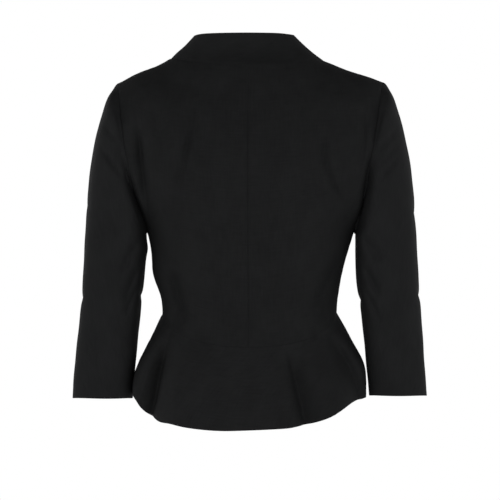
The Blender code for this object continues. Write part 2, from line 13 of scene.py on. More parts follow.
import bpy
import numpy as np
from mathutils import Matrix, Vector


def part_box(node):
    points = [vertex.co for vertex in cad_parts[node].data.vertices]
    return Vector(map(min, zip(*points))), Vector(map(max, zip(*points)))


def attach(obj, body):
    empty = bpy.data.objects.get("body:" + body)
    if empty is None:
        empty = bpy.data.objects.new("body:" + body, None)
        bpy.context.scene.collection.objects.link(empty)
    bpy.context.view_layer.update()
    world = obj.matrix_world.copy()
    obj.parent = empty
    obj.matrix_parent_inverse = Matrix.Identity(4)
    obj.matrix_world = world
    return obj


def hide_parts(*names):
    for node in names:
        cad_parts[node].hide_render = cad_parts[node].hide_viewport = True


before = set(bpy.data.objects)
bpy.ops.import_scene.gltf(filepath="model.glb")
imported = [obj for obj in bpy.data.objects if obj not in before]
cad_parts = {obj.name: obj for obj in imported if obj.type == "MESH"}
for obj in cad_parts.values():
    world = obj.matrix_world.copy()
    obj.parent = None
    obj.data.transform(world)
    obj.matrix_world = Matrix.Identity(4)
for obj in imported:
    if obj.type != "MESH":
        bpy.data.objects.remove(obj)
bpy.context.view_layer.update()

LOG = logging.getLogger("jacket")
Array = np.ndarray
CreaseRow = tuple[str | tuple | float | bool, ...]
CLOTH_MAP = "cloth"

# Metres in a millimetre, and the least length that a vector is divided by.
MM = 0.001
TINY = 1e-12


# Shared mathematics of the forms.


def smooth_step(share: Array) -> Array:
    """Rises from 0 to 1 with a level start and end: three squares of the share less two cubes."""
    share = np.clip(share, 0.0, 1.0)
    return share * share * (3.0 - 2.0 * share)


def unit(vectors: Array) -> Array:
    """Scales vectors along the last axis to a length of one."""
    return vectors / np.maximum(np.linalg.norm(vectors, axis=-1, keepdims=True), TINY)


def through(knots: Array, values: Array, at: Array) -> Array:
    """Reads a smooth curve that passes through a value at each knot, with cubics between them.

    Args:
        knots: Rising places of the values.
        values: One value or array for each knot.
        at: Places to read.

    Returns:
        One value or array for each place.
    """
    values = np.asarray(values, dtype=float)
    slopes = np.gradient(values, knots, axis=0, edge_order=min(2, len(knots) - 1))
    piece = np.clip(np.searchsorted(knots, at, side="right") - 1, 0, len(knots) - 2)
    shape = (-1,) + (1,) * (values.ndim - 1)
    span = (knots[piece + 1] - knots[piece]).reshape(shape)
    part = (at - knots[piece]).reshape(shape) / span
    start = values[piece] * (1.0 + 2.0 * part) * (1.0 - part) ** 2
    end = values[piece + 1] * part * part * (3.0 - 2.0 * part)
    leave = slopes[piece] * span * part * (1.0 - part) ** 2
    arrive = slopes[piece + 1] * span * part * part * (part - 1.0)
    return start + end + leave + arrive


def run_length(points: Array, axis: int) -> Array:
    """Measures how far along the lines of a grid each point lies.

    Args:
        points: Grid of points.
        axis: The grid's axis along which the lines run.

    Returns:
        Distances from the first point of each line.
    """
    steps = np.linalg.norm(np.diff(points, axis=axis), axis=-1)
    start = np.zeros_like(np.take(steps, [0], axis=axis))
    return np.concatenate([start, np.cumsum(steps, axis=axis)], axis=axis)


# Places of points beside an edge, in millimetres, and where the even pitch starts.
EDGE_PLACES = np.array([0.0, 0.4, 1.0, 1.8])
EVEN_FROM = 2.8


def spaced(length: float, pitch: float) -> Array:
    """Places a pitch apart, with closer ones at both ends, where cloth turns into a seam or hem.

    Args:
        length: Where the last place is.
        pitch: The usual step between places.

    Returns:
        Rising places from 0 to the length.
    """
    count = int(np.ceil((length - 2.0 * EVEN_FROM) / pitch))
    middle = np.linspace(EVEN_FROM, length - EVEN_FROM, count + 1)
    return np.concatenate([EDGE_PLACES, middle, length - EDGE_PLACES[::-1]])


# Named options.


class Sign(Enum):
    """One of two opposites, with its sign."""

    @property
    def word(self) -> str:
        """Its name as node names have it."""
        return self.name.lower()


class Side(Sign):
    """The wearer's two sides, with the sign of X on each."""

    LEFT = 1
    RIGHT = -1

    def of(self, grid: Array) -> Array:
        """Points of the left half, or their mirror image on the right."""
        return grid * np.array([self.value, 1.0, 1.0])


class Face(Sign):
    """The jacket's back and front, with the sign of Y on each."""

    BACK = 1
    FRONT = -1

    @property
    def other(self) -> "Face":
        """The face on the other side of the armhole."""
        return Face(-self.value)


class View(Enum):
    """Sides from which creases are drawn: the outward direction of each."""

    BACK = (0.0, 1.0, 0.0)
    FRONT = (0.0, -1.0, 0.0)
    LEFT = (1.0, 0.0, 0.0)
    RIGHT = (-1.0, 0.0, 0.0)

    @property
    def out(self) -> Array:
        """The direction towards the viewer."""
        return np.array(self.value)

    def drawing(self, points: Array) -> Array:
        """Flattens points: X and Z as seen from the back or front, Y and Z from a side."""
        across = 0 if self in (View.BACK, View.FRONT) else 1
        return points[..., [across, 2]]


class Edge(Enum):
    """How an edge of a piece of cloth is finished."""

    SEWN = "sewn to the next piece"
    TURNED = "turned under as a hem"
    JOINED = "joined to the opposite edge of a tube"


# Creases and unevenness.


# How fast a crease falls off, how round its line is, and how many straight pieces the line has.
CREASE_POWER = 0.72
CREASE_ROUND = 0.004
CREASE_PIECES = 18

# Where creases fade on cloth turned away: over seams by its depth towards the viewer, in millimetres,
# and elsewhere by how far it faces the viewer.
DEPTH_FADE = 25.0
FACING_FROM = -0.05
FACING_FADE = 0.4


@dataclass(frozen=True)
class Crease:
    """A soft trough or ridge along a line drawn on one side of the jacket, in millimetres.

    Attributes:
        name: What it is.
        view: The side it is drawn from.
        path: Places (across, up) that the line passes through.
        height: How far the cloth rises along the line; a trough is below zero.
        left: How far it spreads to the left of the path.
        right: How far it spreads to the right of the path.
        fade_in: Share of the path over which it begins.
        fade_out: Share of the path over which it ends.
        over_seams: Whether it runs on unbroken over seams, in all the pieces there.
    """

    name: str
    view: View
    path: tuple[tuple[float, float], ...]
    height: float
    left: float
    right: float
    fade_in: float = 0.35
    fade_out: float = 0.35
    over_seams: bool = False

    @classmethod
    def drawn(cls, view: View, *rows: CreaseRow) -> "tuple[Crease, ...]":
        """Makes creases drawn from one side, from rows of their other attributes in order."""
        return tuple(cls(name, view, *rest) for name, *rest in rows)

    def line(self) -> Array:
        """Draws the path smoothly.

        Returns:
            Points of the line.
        """
        corners = np.array(self.path)
        knots = run_length(corners, 0)
        return through(knots, corners, np.linspace(0.0, knots[-1], CREASE_PIECES + 1))

    def rise(self, points: Array, normals: Array) -> Array:
        """Moves cloth towards or away from the viewer.

        Across the line the height is e to minus a power of the square of distance over width, a
        bell curve with a narrow top. It fades in and out along the line.

        Args:
            points: Grid of points.
            normals: The cloth's outward directions there.

        Returns:
            How far each point moves.
        """
        places = self.view.drawing(points)[..., None, :]
        line = self.line()
        way = np.diff(line, axis=0)
        off = places - line[:-1]
        share = np.clip((off * way).sum(-1) / (way * way).sum(-1), 0.0, 1.0)
        off = off - share[..., None] * way
        nearest = np.argmin((off * off).sum(-1), axis=-1)[..., None]
        off = np.take_along_axis(off, nearest[..., None], axis=-2)[..., 0, :]
        along = (nearest + np.take_along_axis(share, nearest, axis=-1))[..., 0] / len(way)
        heading = way[nearest[..., 0]]
        is_left = heading[..., 0] * off[..., 1] - heading[..., 1] * off[..., 0] > 0.0
        width = np.where(is_left, self.left, self.right)
        bell = np.exp(-(((off * off).sum(-1) / (width * width) + CREASE_ROUND) ** CREASE_POWER))
        ends = smooth_step(along / self.fade_in) * smooth_step((1.0 - along) / self.fade_out)
        if self.over_seams:
            facing = smooth_step(points @ self.view.out / DEPTH_FADE)
        else:
            facing = smooth_step((normals @ self.view.out - FACING_FROM) / FACING_FADE)
        return (self.height * bell * ends * facing)[..., None] * self.view.out


@dataclass(frozen=True)
class Sway:
    """Unevenness of the cloth: a sum of sine waves in chance directions.

    Attributes:
        height: Usual height of the waves together, in millimetres.
        shortest: Length of the shortest wave.
        longest: Length of the longest wave.
        waves: How many waves there are.
        seed: Start of the random choice.
        upright: How much the waves run up and down, beside level.
    """

    height: float
    shortest: float
    longest: float
    waves: int
    seed: int
    upright: float

    def rise(self, points: Array) -> Array:
        """Adds up the waves.

        Args:
            points: Grid of points in millimetres.

        Returns:
            How far the cloth rises at each point.
        """
        random = np.random.default_rng(self.seed)
        lengths = random.uniform(self.shortest, self.longest, self.waves)
        headings = unit(random.normal(size=(self.waves, 3)) * np.array([1.0, 1.0, self.upright]))
        starts = random.uniform(0.0, 2.0 * np.pi, self.waves)
        turns = points @ (headings * (2.0 * np.pi / lengths)[:, None]).T + starts
        return self.height * np.sqrt(2.0 / self.waves) * np.sin(turns).sum(-1)


@dataclass(frozen=True)
class Nudge:
    """A place where the jacket's outline differs from the even form, in millimetres.

    Attributes:
        name: What it is.
        middle: Where it is greatest.
        reach: How far it spreads along each axis.
        move: How far it moves the cloth.
    """

    name: str
    middle: tuple[float, float, float]
    reach: tuple[float, float, float]
    move: tuple[float, float, float]


def nudged(points: Array, nudges: tuple[Nudge, ...]) -> Array:
    """Moves points by the sum of the nudges, each a bell curve in space.

    Args:
        points: Grid of points.
        nudges: The nudges.

    Returns:
        The moved grid.
    """
    moved = points.copy()
    for nudge in nudges:
        away = (points - np.array(nudge.middle)) / np.array(nudge.reach)
        moved += np.exp(-(away * away).sum(-1))[..., None] * np.array(nudge.move)
    return moved


# Materials.


class Value:
    """A number in a shader that takes part in arithmetic."""

    def __init__(self, graph: "Graph", socket: bpy.types.NodeSocket) -> None:
        """Wraps the output of a shader's node that gives the number."""
        self.graph = graph
        self.socket = socket

    def __add__(self, other: "Value | float") -> "Value":
        """Adds a number."""
        return self.graph.maths("ADD", self, other)

    def __radd__(self, other: float) -> "Value":
        """Is added to a number."""
        return self.graph.maths("ADD", other, self)

    def __sub__(self, other: "Value | float") -> "Value":
        """Takes a number away."""
        return self.graph.maths("SUBTRACT", self, other)

    def __rsub__(self, other: float) -> "Value":
        """Is taken away from a number."""
        return self.graph.maths("SUBTRACT", other, self)

    def __mul__(self, other: "Value | float") -> "Value":
        """Multiplies by a number."""
        return self.graph.maths("MULTIPLY", self, other)

    def __rmul__(self, other: float) -> "Value":
        """Multiplies a number."""
        return self.graph.maths("MULTIPLY", other, self)

    def sine(self) -> "Value":
        """The sine of the number, in radians."""
        return self.graph.maths("SINE", self)


# Numbers of a Mix node's sockets for colours: its factor, both colours and the result.
MIX_FACTOR = 0
MIX_FIRST = 6
MIX_SECOND = 7
MIX_RESULT = 2


class Graph:
    """A shader's nodes, made and linked by short calls."""

    def __init__(self, tree: bpy.types.NodeTree) -> None:
        """Clears the tree, where the nodes go."""
        self.tree = tree
        tree.nodes.clear()

    def node(self, kind: str, inputs: dict | None = None, **settings: object) -> bpy.types.Node:
        """Adds a node.

        Args:
            kind: Its type.
            inputs: Values, sockets or numbers for its inputs, by name or number.
            settings: Its own properties.

        Returns:
            The node.
        """
        node = self.tree.nodes.new(kind)
        for name, value in settings.items():
            setattr(node, name, value)
        for key, value in (inputs or {}).items():
            source = value.socket if isinstance(value, Value) else value
            if isinstance(source, bpy.types.NodeSocket):
                self.tree.links.new(source, node.inputs[key])
            else:
                node.inputs[key].default_value = source
        return node

    def maths(self, operation: str, *values: "Value | float") -> Value:
        """Adds one step of arithmetic on values, and gives its result."""
        node = self.node("ShaderNodeMath", dict(enumerate(values)), operation=operation)
        return Value(self, node.outputs[0])

    def blend(self, share: Value, first: tuple, second: tuple) -> bpy.types.NodeSocket:
        """Mixes two colours.

        Args:
            share: How much of the second one there is.
            first: Colour at 0.
            second: Colour at 1.

        Returns:
            The mixed colour.
        """
        inputs = {MIX_FACTOR: share, MIX_FIRST: (*first, 1.0), MIX_SECOND: (*second, 1.0)}
        node = self.node("ShaderNodeMix", inputs, data_type="RGBA", clamp_factor=True)
        return node.outputs[MIX_RESULT]

    def noise(self, place: bpy.types.NodeSocket, scale: tuple, detail: float = 3.0) -> Value:
        """Adds soft random mottling.

        Args:
            place: Coordinates in metres.
            scale: Blotches to a metre along each axis.
            detail: How many finer layers it has.

        Returns:
            A number from -0.5 to 0.5.
        """
        stretched = self.node("ShaderNodeVectorMath", {0: place, 1: scale}, operation="MULTIPLY")
        inputs = {"Vector": stretched.outputs[0], "Scale": 1.0, "Detail": detail}
        return Value(self, self.node("ShaderNodeTexNoise", inputs).outputs[0]) - 0.5

    def surface(self, inputs: dict) -> None:
        """Ends a material's nodes with one principled surface."""
        shader = self.node("ShaderNodeBsdfPrincipled", inputs)
        self.node("ShaderNodeOutputMaterial", {0: shader.outputs[0]})


def new_material(name: str) -> tuple[bpy.types.Material, Graph]:
    """Makes an empty material.

    Args:
        name: Its name.

    Returns:
        The material and the graph of its nodes.
    """
    made = bpy.data.materials.new(name)
    made.use_nodes = True
    return made, Graph(made.node_tree)


@dataclass(frozen=True)
class Suiting:
    """Black suiting in a fine plain weave, with slubs and a soft nap.

    Attributes:
        name: The material's name.
        dark: Colour between the threads.
        light: Colour on top of the threads.
        pitch: Distance between threads, in metres.
        weave_height: How far threads stand up, in metres.
        slub_height: How far thick threads stand up, in metres.
        crumple_height: How deep the finest crumples are, in metres.
        roughness: How matte it is.
        sheen: How much its nap lights up at a slant.
        sheen_roughness: How widely the nap scatters light.
        specular: How strong its surface reflection is.
        slub_scale: Thick threads to a metre along them and across them.
        patch_scale: Patches of tone to a metre along each axis.
        crumple_scale: Crumples to a metre along each axis.
        slub_tone: How much thick threads change the colour.
        patch_tone: How much patches change it.
        weave_tone: How much the weave changes it.
        slub_roughness: How much thick threads change the roughness.
    """

    name: str
    dark: tuple[float, float, float]
    light: tuple[float, float, float]
    pitch: float
    weave_height: float
    slub_height: float
    crumple_height: float
    roughness: float
    sheen: float
    sheen_roughness: float
    specular: float
    slub_scale: tuple[float, float] = (40.0, 420.0)
    patch_scale: tuple[float, float, float] = (35.0, 35.0, 22.0)
    crumple_scale: tuple[float, float, float] = (70.0, 70.0, 45.0)
    slub_tone: float = 0.7
    patch_tone: float = 0.6
    weave_tone: float = 0.2
    slub_roughness: float = 0.12

    def material(self) -> bpy.types.Material:
        """Makes the material, on the cloth's own map and on object coordinates.

        Returns:
            The material.
        """
        made, graph = new_material(self.name)
        cloth = graph.node("ShaderNodeUVMap", uv_map=CLOTH_MAP).outputs[0]
        place = graph.node("ShaderNodeTexCoord").outputs["Object"]
        split = graph.node("ShaderNodeSeparateXYZ", {0: cloth})
        turn = 2.0 * np.pi / self.pitch
        warp = (Value(graph, split.outputs[0]) * turn).sine()
        weft = (Value(graph, split.outputs[1]) * turn).sine()
        weave = warp * weft
        few, many = self.slub_scale
        slub = graph.noise(cloth, (few, many, 0.0)) + graph.noise(cloth, (many, few, 0.0))
        patches = graph.noise(place, self.patch_scale, detail=2.0)
        crumple = graph.noise(place, self.crumple_scale)
        height = weave * self.weave_height + slub * self.slub_height + crumple * self.crumple_height
        bump = graph.node("ShaderNodeBump", {"Height": height, "Strength": 1.0, "Distance": 1.0})
        tone = 0.5 + slub * self.slub_tone + patches * self.patch_tone + weave * self.weave_tone
        inputs = {
            "Base Color": graph.blend(tone, self.dark, self.light),
            "Roughness": self.roughness + slub * self.slub_roughness,
            "Normal": bump.outputs[0],
            "Sheen Weight": self.sheen,
            "Sheen Roughness": self.sheen_roughness,
            "Specular IOR Level": self.specular,
        }
        graph.surface(inputs)
        return made


@dataclass(frozen=True)
class Plain:
    """A surface of one colour with a faint mottling.

    Attributes:
        name: The material's name.
        colour: Its colour.
        roughness: How matte it is.
        mottle: How much the roughness varies.
        mottle_scale: Blotches to a metre along each axis.
    """

    name: str
    colour: tuple[float, float, float]
    roughness: float
    mottle: float
    mottle_scale: tuple[float, float, float] = (400.0, 400.0, 400.0)

    def material(self) -> bpy.types.Material:
        """Makes the material on object coordinates.

        Returns:
            The material.
        """
        made, graph = new_material(self.name)
        place = graph.node("ShaderNodeTexCoord").outputs["Object"]
        mottling = graph.noise(place, self.mottle_scale)
        inputs = {
            "Base Color": (*self.colour, 1.0),
            "Roughness": self.roughness + mottling * self.mottle,
        }
        graph.surface(inputs)
        return made


SUITING = Suiting(
    name="black suiting",
    dark=(0.0088, 0.0090, 0.0093),
    light=(0.0164, 0.0168, 0.0172),
    pitch=0.0008,
    weave_height=0.00002,
    slub_height=0.00005,
    crumple_height=0.00035,
    roughness=0.84,
    sheen=0.003,
    sheen_roughness=0.45,
    specular=0.04,
)
# The sleeves' suiting is the same cloth painted lighter: painted sheen standing in for how the light falls
# on them.
SLEEVE_SUITING_PAINTED_SHEEN = replace(
    SUITING,
    name="black suiting of the sleeves",
    dark=(0.0101, 0.0103, 0.0107),
    light=(0.0188, 0.0193, 0.0198),
)
# The peplum's suiting is the same cloth painted lighter: painted sheen standing in for how the light falls
# on it.
PEPLUM_SUITING_PAINTED_SHEEN = replace(
    SUITING,
    name="black suiting of the peplum",
    dark=(0.0098, 0.0100, 0.0103),
    light=(0.0180, 0.0184, 0.0189),
)
RESIN = Plain("black resin", (0.010, 0.010, 0.011), 0.32, 0.15)
THREAD = Plain("black thread", (0.016, 0.016, 0.017), 0.70, 0.20)


# Meshes.


def make_object(name: str, points: Array, faces: Array, material: bpy.types.Material) -> bpy.types.Object:
    """Makes a smooth mesh object that rides on the jacket's only body.

    Args:
        name: The piece's name.
        points: Points in millimetres.
        faces: Quads as numbers of points.
        material: Its surface.

    Returns:
        The object.
    """
    mesh = bpy.data.meshes.new(name)
    mesh.vertices.add(len(points))
    mesh.vertices.foreach_set("co", (points * MM).astype(np.float32).ravel())
    mesh.loops.add(faces.size)
    mesh.loops.foreach_set("vertex_index", faces.astype(np.int32).ravel())
    mesh.polygons.add(len(faces))
    mesh.polygons.foreach_set("loop_start", np.arange(0, faces.size, 4, dtype=np.int32))
    mesh.update(calc_edges=True)
    mesh.validate()
    mesh.shade_smooth()
    mesh.materials.append(material)
    piece = bpy.data.objects.new(name, mesh)
    bpy.context.scene.collection.objects.link(piece)
    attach(piece, "root")
    LOG.info("%s: %d triangles", name, 2 * len(faces))
    return piece


def grid_quads(rows: int, columns: int, closed: bool) -> Array:
    """Numbers the quads of a grid of points.

    Args:
        rows: Rows of points.
        columns: Points in a row.
        closed: Whether each row runs round a tube.

    Returns:
        Four point numbers for each quad.
    """
    start = np.arange(columns if closed else columns - 1)
    after = (start + 1) % columns
    base = np.arange(rows - 1)[:, None] * columns
    corners = [base + start, base + after, base + columns + after, base + columns + start]
    return np.stack(corners, axis=-1).reshape(-1, 4)


def grid_normals(points: Array, closed: bool, flip: bool) -> Array:
    """Finds the outward directions of a grid of points.

    Args:
        points: The grid.
        closed: Whether each row runs round a tube.
        flip: Whether the side that the quads face is the inner one.

    Returns:
        A direction of length one at each point.
    """
    up = np.gradient(points, axis=0)
    if closed:
        across = np.roll(points, -1, axis=1) - np.roll(points, 1, axis=1)
    else:
        across = np.gradient(points, axis=1)
    return unit(np.cross(across, up)) * (-1.0 if flip else 1.0)


@dataclass(frozen=True)
class Inside:
    """A skeleton inside the jacket, towards which seams sink: a spine and a bar across the shoulders.

    Attributes:
        spine_y: Place of the spine and the bar in depth, in millimetres.
        bar_z: Height of the bar.
        bar: Half of the bar's length.
    """

    spine_y: float = -8.0
    bar_z: float = -100.0
    bar: float = 150.0

    def way(self, points: Array) -> Array:
        """Finds the direction to the nearest place of the skeleton, the same for pieces that meet.

        Args:
            points: Grid of points.

        Returns:
            Directions of length one.
        """
        x, y, z = np.moveaxis(points, -1, 0)
        middle = np.full_like(x, self.spine_y)
        to_spine = np.stack([0.0 * x, middle, z], axis=-1) - points
        bar_x = np.clip(x, -self.bar, self.bar)
        to_bar = np.stack([bar_x, middle, np.full_like(x, self.bar_z)], axis=-1) - points
        nearer = (to_spine**2).sum(-1, keepdims=True) < (to_bar**2).sum(-1, keepdims=True)
        return unit(np.where(nearer, to_spine, to_bar))


INSIDE = Inside()


@dataclass(frozen=True)
class ClothSizes:
    """Sizes that all the cloth shares, in millimetres.

    Attributes:
        wall: Thickness of the cloth.
        hem_wall: Thickness where a hem is turned under.
        hem_width: How far up a hem is turned.
        hem_step: How softly the hem's raw edge shows on the inside.
        seam_sink: How deep cloth rolls into a seam.
        pressed_sink: The same at the neck and shoulders, which are pressed flat.
        pressed_above: Height above which seams are pressed flat.
        unpressed_below: Height below which they are not.
        seam_reach: How far from the seam the roll starts.
        pucker: Small puckers beside a seam.
        pucker_reach: How far from the seam they die away.
        rim_steps: Points across a turned or cut edge.
        cut_rim: How round a sewn edge is, beside a turned one.
        sway: Slow unevenness.
    """

    wall: float = 0.9
    hem_wall: float = 1.8
    hem_width: float = 25.0
    hem_step: float = 1.5
    seam_sink: float = 0.55
    pressed_sink: float = 0.3
    pressed_above: float = -40.0
    unpressed_below: float = -130.0
    seam_reach: float = 4.0
    pucker: Sway = Sway(0.14, 8.0, 20.0, 8, 3, 1.0)
    pucker_reach: float = 12.0
    rim_steps: int = 2
    cut_rim: float = 0.2
    sway: Sway = Sway(0.35, 45.0, 130.0, 10, 5, 0.35)


CLOTH = ClothSizes()


@dataclass(frozen=True)
class Cut:
    """The flat cut of a piece of cloth before it was sewn, in metres.

    Attributes:
        width: Width of the cut, seam allowances included.
        length: Length of the cut, hem allowance included.
        shown: Flat area of what shows on one side, in square metres.
    """

    width: float
    length: float
    shown: float


@dataclass(frozen=True)
class ClothPiece:
    """A piece of cloth, built as a thin closed shell on its form.

    Attributes:
        node: The CAD node that it stands for.
        form: Grid of points of its outer side.
        flip: Whether the grid's quads face inwards.
        edges: Finish of its first row, last row, first column and last column.
        creases: Creases pressed into it.
        calm: How far from a sewn edge creases reach their full height.
        cut: Its flat cut; not used.
        hangs_from: Nodes of the pieces that it is sewn to; not used.
    """

    node: str
    form: Array
    flip: bool
    edges: tuple[Edge, Edge, Edge, Edge]
    creases: tuple[Crease, ...]
    calm: float
    cut: Cut
    hangs_from: tuple[str, ...]

    @property
    def closed(self) -> bool:
        """Whether the piece is a tube."""
        return self.edges[2] is Edge.JOINED

    def from_edges(self, kind: Edge, points: Array) -> list[Array]:
        """Measures how far each point lies from each edge of one kind, along the cloth.

        Args:
            kind: How those edges are finished.
            points: Grid of points.

        Returns:
            Distances from each such edge.
        """
        up = run_length(points, 0)
        across = run_length(points, 1)
        distances = (up, up[-1:] - up, across, across[:, -1:] - across)
        return [distance for edge, distance in zip(self.edges, distances) if edge is kind]

    def pressed(self, points: Array) -> Array:
        """Presses creases, unevenness and seams into the form.

        Creases and unevenness die away towards sewn edges, where the cloth rolls into the seam and
        puckers a little beside it.

        Args:
            points: Grid of the plain form.

        Returns:
            Grid of the creased cloth.
        """
        normals = grid_normals(points, self.closed, self.flip)
        from_seams = self.from_edges(Edge.SEWN, points)
        calm = np.ones(points.shape[:2])
        for distance in from_seams:
            calm = calm * smooth_step(distance / self.calm)
        creased = points + normals * (CLOTH.sway.rise(points) * calm)[..., None]
        for crease in self.creases:
            held = np.ones_like(calm) if crease.over_seams else calm
            creased = creased + crease.rise(points, normals) * held[..., None]
        sink = np.zeros(points.shape[:2])
        pressed = (points[..., 2] - CLOTH.unpressed_below) / (CLOTH.pressed_above - CLOTH.unpressed_below)
        deepest = CLOTH.seam_sink + (CLOTH.pressed_sink - CLOTH.seam_sink) * smooth_step(pressed)
        for distance in from_seams:
            roll = np.clip(1.0 - distance / CLOTH.seam_reach, 0.0, 1.0) ** 2
            pucker = CLOTH.pucker.rise(points) * np.exp(-distance / CLOTH.pucker_reach)
            sink = np.maximum(sink, deepest * roll) + pucker
        return creased + INSIDE.way(points) * sink[..., None]

    def walls(self, points: Array) -> Array:
        """Thickness of the cloth, greater where a hem is turned under.

        Args:
            points: Grid of the creased cloth.

        Returns:
            Thickness at each point.
        """
        turned = np.zeros(points.shape[:2])
        for distance in self.from_edges(Edge.TURNED, points):
            step = smooth_step((CLOTH.hem_width - distance) / CLOTH.hem_step)
            turned = np.maximum(turned, step)
        return CLOTH.wall + (CLOTH.hem_wall - CLOTH.wall) * turned

    def borders(self, points: Array) -> tuple[list[Array], Array, Array]:
        """Finds the edges that a rim closes.

        Args:
            points: Grid of the creased cloth.

        Returns:
            Loops of point numbers in the order of the quads, the directions out of the cloth at its
            edges and how round each edge is.
        """
        rows, columns = points.shape[:2]
        number = np.arange(rows * columns).reshape(rows, columns)
        out = np.zeros_like(points)
        roundness = np.zeros((rows, columns))
        borders = (np.s_[0], np.s_[-1], np.s_[:, 0], np.s_[:, -1])
        neighbours = (np.s_[1], np.s_[-2], np.s_[:, 1], np.s_[:, -2])
        for edge, border, neighbour in zip(self.edges, borders, neighbours):
            if edge is not Edge.JOINED:
                out[border] += unit(points[border] - points[neighbour])
                roundness[border] = 1.0 if edge is Edge.TURNED else CLOTH.cut_rim
        if self.closed:
            loops = [number[0], number[-1, ::-1]]
        else:
            sides = [number[0, :-1], number[:-1, -1], number[-1, :0:-1], number[:0:-1, 0]]
            loops = [np.concatenate(sides)]
        return loops, unit(out).reshape(-1, 3), roundness.ravel()

    def build(self, material: bpy.types.Material) -> bpy.types.Object:
        """Builds the shell: its outer side, its inner side and the rims between them.

        Args:
            material: The cloth's surface.

        Returns:
            The object.
        """
        points = self.pressed(self.form)
        normals = grid_normals(points, self.closed, self.flip)
        count = points.shape[0] * points.shape[1]
        outer = points.reshape(-1, 3)
        inner = (points - normals * self.walls(points)[..., None]).reshape(-1, 3)
        quads = grid_quads(*points.shape[:2], self.closed)
        all_points = [outer, inner]
        faces = [quads, quads[:, ::-1] + count]
        on_map = [np.arange(count), np.arange(count)]
        total = 2 * count
        loops, out, roundness = self.borders(points)
        for loop in loops:
            middle = 0.5 * (outer[loop] + inner[loop])
            half = 0.5 * (outer[loop] - inner[loop])
            reach = np.linalg.norm(half, axis=1) * roundness[loop]
            strips = [loop]
            for angle in np.pi * np.arange(1, CLOTH.rim_steps + 1) / (CLOTH.rim_steps + 1):
                bulge = out[loop] * (reach * np.sin(angle))[:, None]
                all_points.append(middle + half * np.cos(angle) + bulge)
                strips.append(total + np.arange(len(loop)))
                on_map.append(loop)
                total += len(loop)
            strips.append(loop + count)
            for first, second in zip(strips[:-1], strips[1:]):
                corners = [np.roll(first, -1), first, second, np.roll(second, -1)]
                faces.append(np.stack(corners, axis=1))
        faces = np.concatenate(faces)
        if self.flip:
            faces = faces[:, ::-1]
        piece = make_object(self.node + "_cloth", np.concatenate(all_points), faces, material)
        self.lay_map(piece, points, np.concatenate(on_map)[faces])
        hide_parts(self.node)
        [node + "_cloth" for node in self.hangs_from]
        return piece

    def lay_map(self, piece: bpy.types.Object, points: Array, corners: Array) -> None:
        """Gives the mesh its map: the piece laid out flat for its weave, in metres.

        Round a tube the map is even, and it is carried on past the line where it starts.

        Args:
            piece: The object.
            points: Grid of the creased cloth.
            corners: Grid point at each corner of each quad.
        """
        across = run_length(points, 1)
        if self.closed:
            looped = np.concatenate([points, points[:, :1]], axis=1)
            girth = run_length(looped, 1)[:, -1].mean()
            around = np.linspace(0.0, girth, points.shape[1], endpoint=False)
            across = np.broadcast_to(around, across.shape)
        places = np.stack([across, run_length(points, 0)], axis=-1).reshape(-1, 2)[corners]
        if self.closed:
            round_tube = places[..., 0]
            wraps = np.ptp(round_tube, axis=1, keepdims=True) > 0.5 * girth
            places[..., 0] = np.where(wraps & (round_tube < 0.5 * girth), round_tube + girth, round_tube)
        layer = piece.data.uv_layers.new(name=CLOTH_MAP)
        layer.uv.foreach_set("vector", (places * MM).astype(np.float32).ravel())


# The bodice.


@dataclass(frozen=True)
class PanelRow:
    """A curve across half a panel, from its centre line to its outer edge, in millimetres and degrees.

    It leaves the centre line square to it, and arrives at the edge turned from straight across.

    Attributes:
        place: Where it is.
        edge_x: Place of the outer edge across.
        edge_y: Place of the outer edge in depth.
        edge_z: Height of the outer edge.
        centre_y: Place of the centre line in depth.
        centre_z: Height of the centre line.
        turn: Turn at the edge.
        fullness: How far it reaches towards its corner.
        rise: How steeply it still climbs at the edge.
    """

    place: str
    edge_x: float
    edge_y: float
    edge_z: float
    centre_y: float
    centre_z: float
    turn: float
    fullness: float
    rise: float


ROW_COLUMNS = tuple(part.name for part in fields(PanelRow))[1:]
EDGE_COLUMNS = ("edge_x", "edge_y", "edge_z")

BACK_ROWS = (
    PanelRow("waist seam", 128.0, -6.0, -373.0, 81.0, -421.0, 90.0, 0.57, 0.60),
    PanelRow("hollow of the back", 130.0, -6.0, -350.0, 78.0, -384.0, 90.0, 0.57, 0.55),
    PanelRow("ribs", 140.0, -6.0, -308.0, 89.5, -312.0, 90.0, 0.57, 0.40),
    PanelRow("underarm", 154.0, -5.0, -252.0, 107.0, -210.0, 90.0, 0.57, 0.50),
    PanelRow("low armhole", 153.5, 20.0, -242.0, 108.5, -192.0, 77.0, 0.57, 0.45),
    PanelRow("lower armhole", 161.0, 45.0, -211.0, 109.5, -171.0, 66.0, 0.57, 0.30),
    PanelRow("shoulder blade", 170.5, 57.5, -173.0, 109.0, -149.0, 59.0, 0.57, 0.20),
    PanelRow("middle armhole", 179.5, 58.5, -138.0, 106.0, -127.0, 56.0, 0.57, 0.10),
    PanelRow("upper armhole", 187.0, 50.0, -92.0, 99.5, -102.0, 54.0, 0.57, 0.0),
    PanelRow("top of armhole", 192.5, 29.0, -51.0, 91.5, -77.0, 52.0, 0.57, -0.22),
    PanelRow("shoulder tip", 195.0, -8.0, -31.0, 85.0, -59.0, 55.0, 0.57, -0.45),
    PanelRow("middle of shoulder", 156.0, -11.0, -17.0, 76.5, -36.0, 80.0, 0.57, -0.16),
    PanelRow("neck seam", 112.0, -12.0, 0.0, 66.0, -12.0, 90.0, 0.57, 0.0),
)

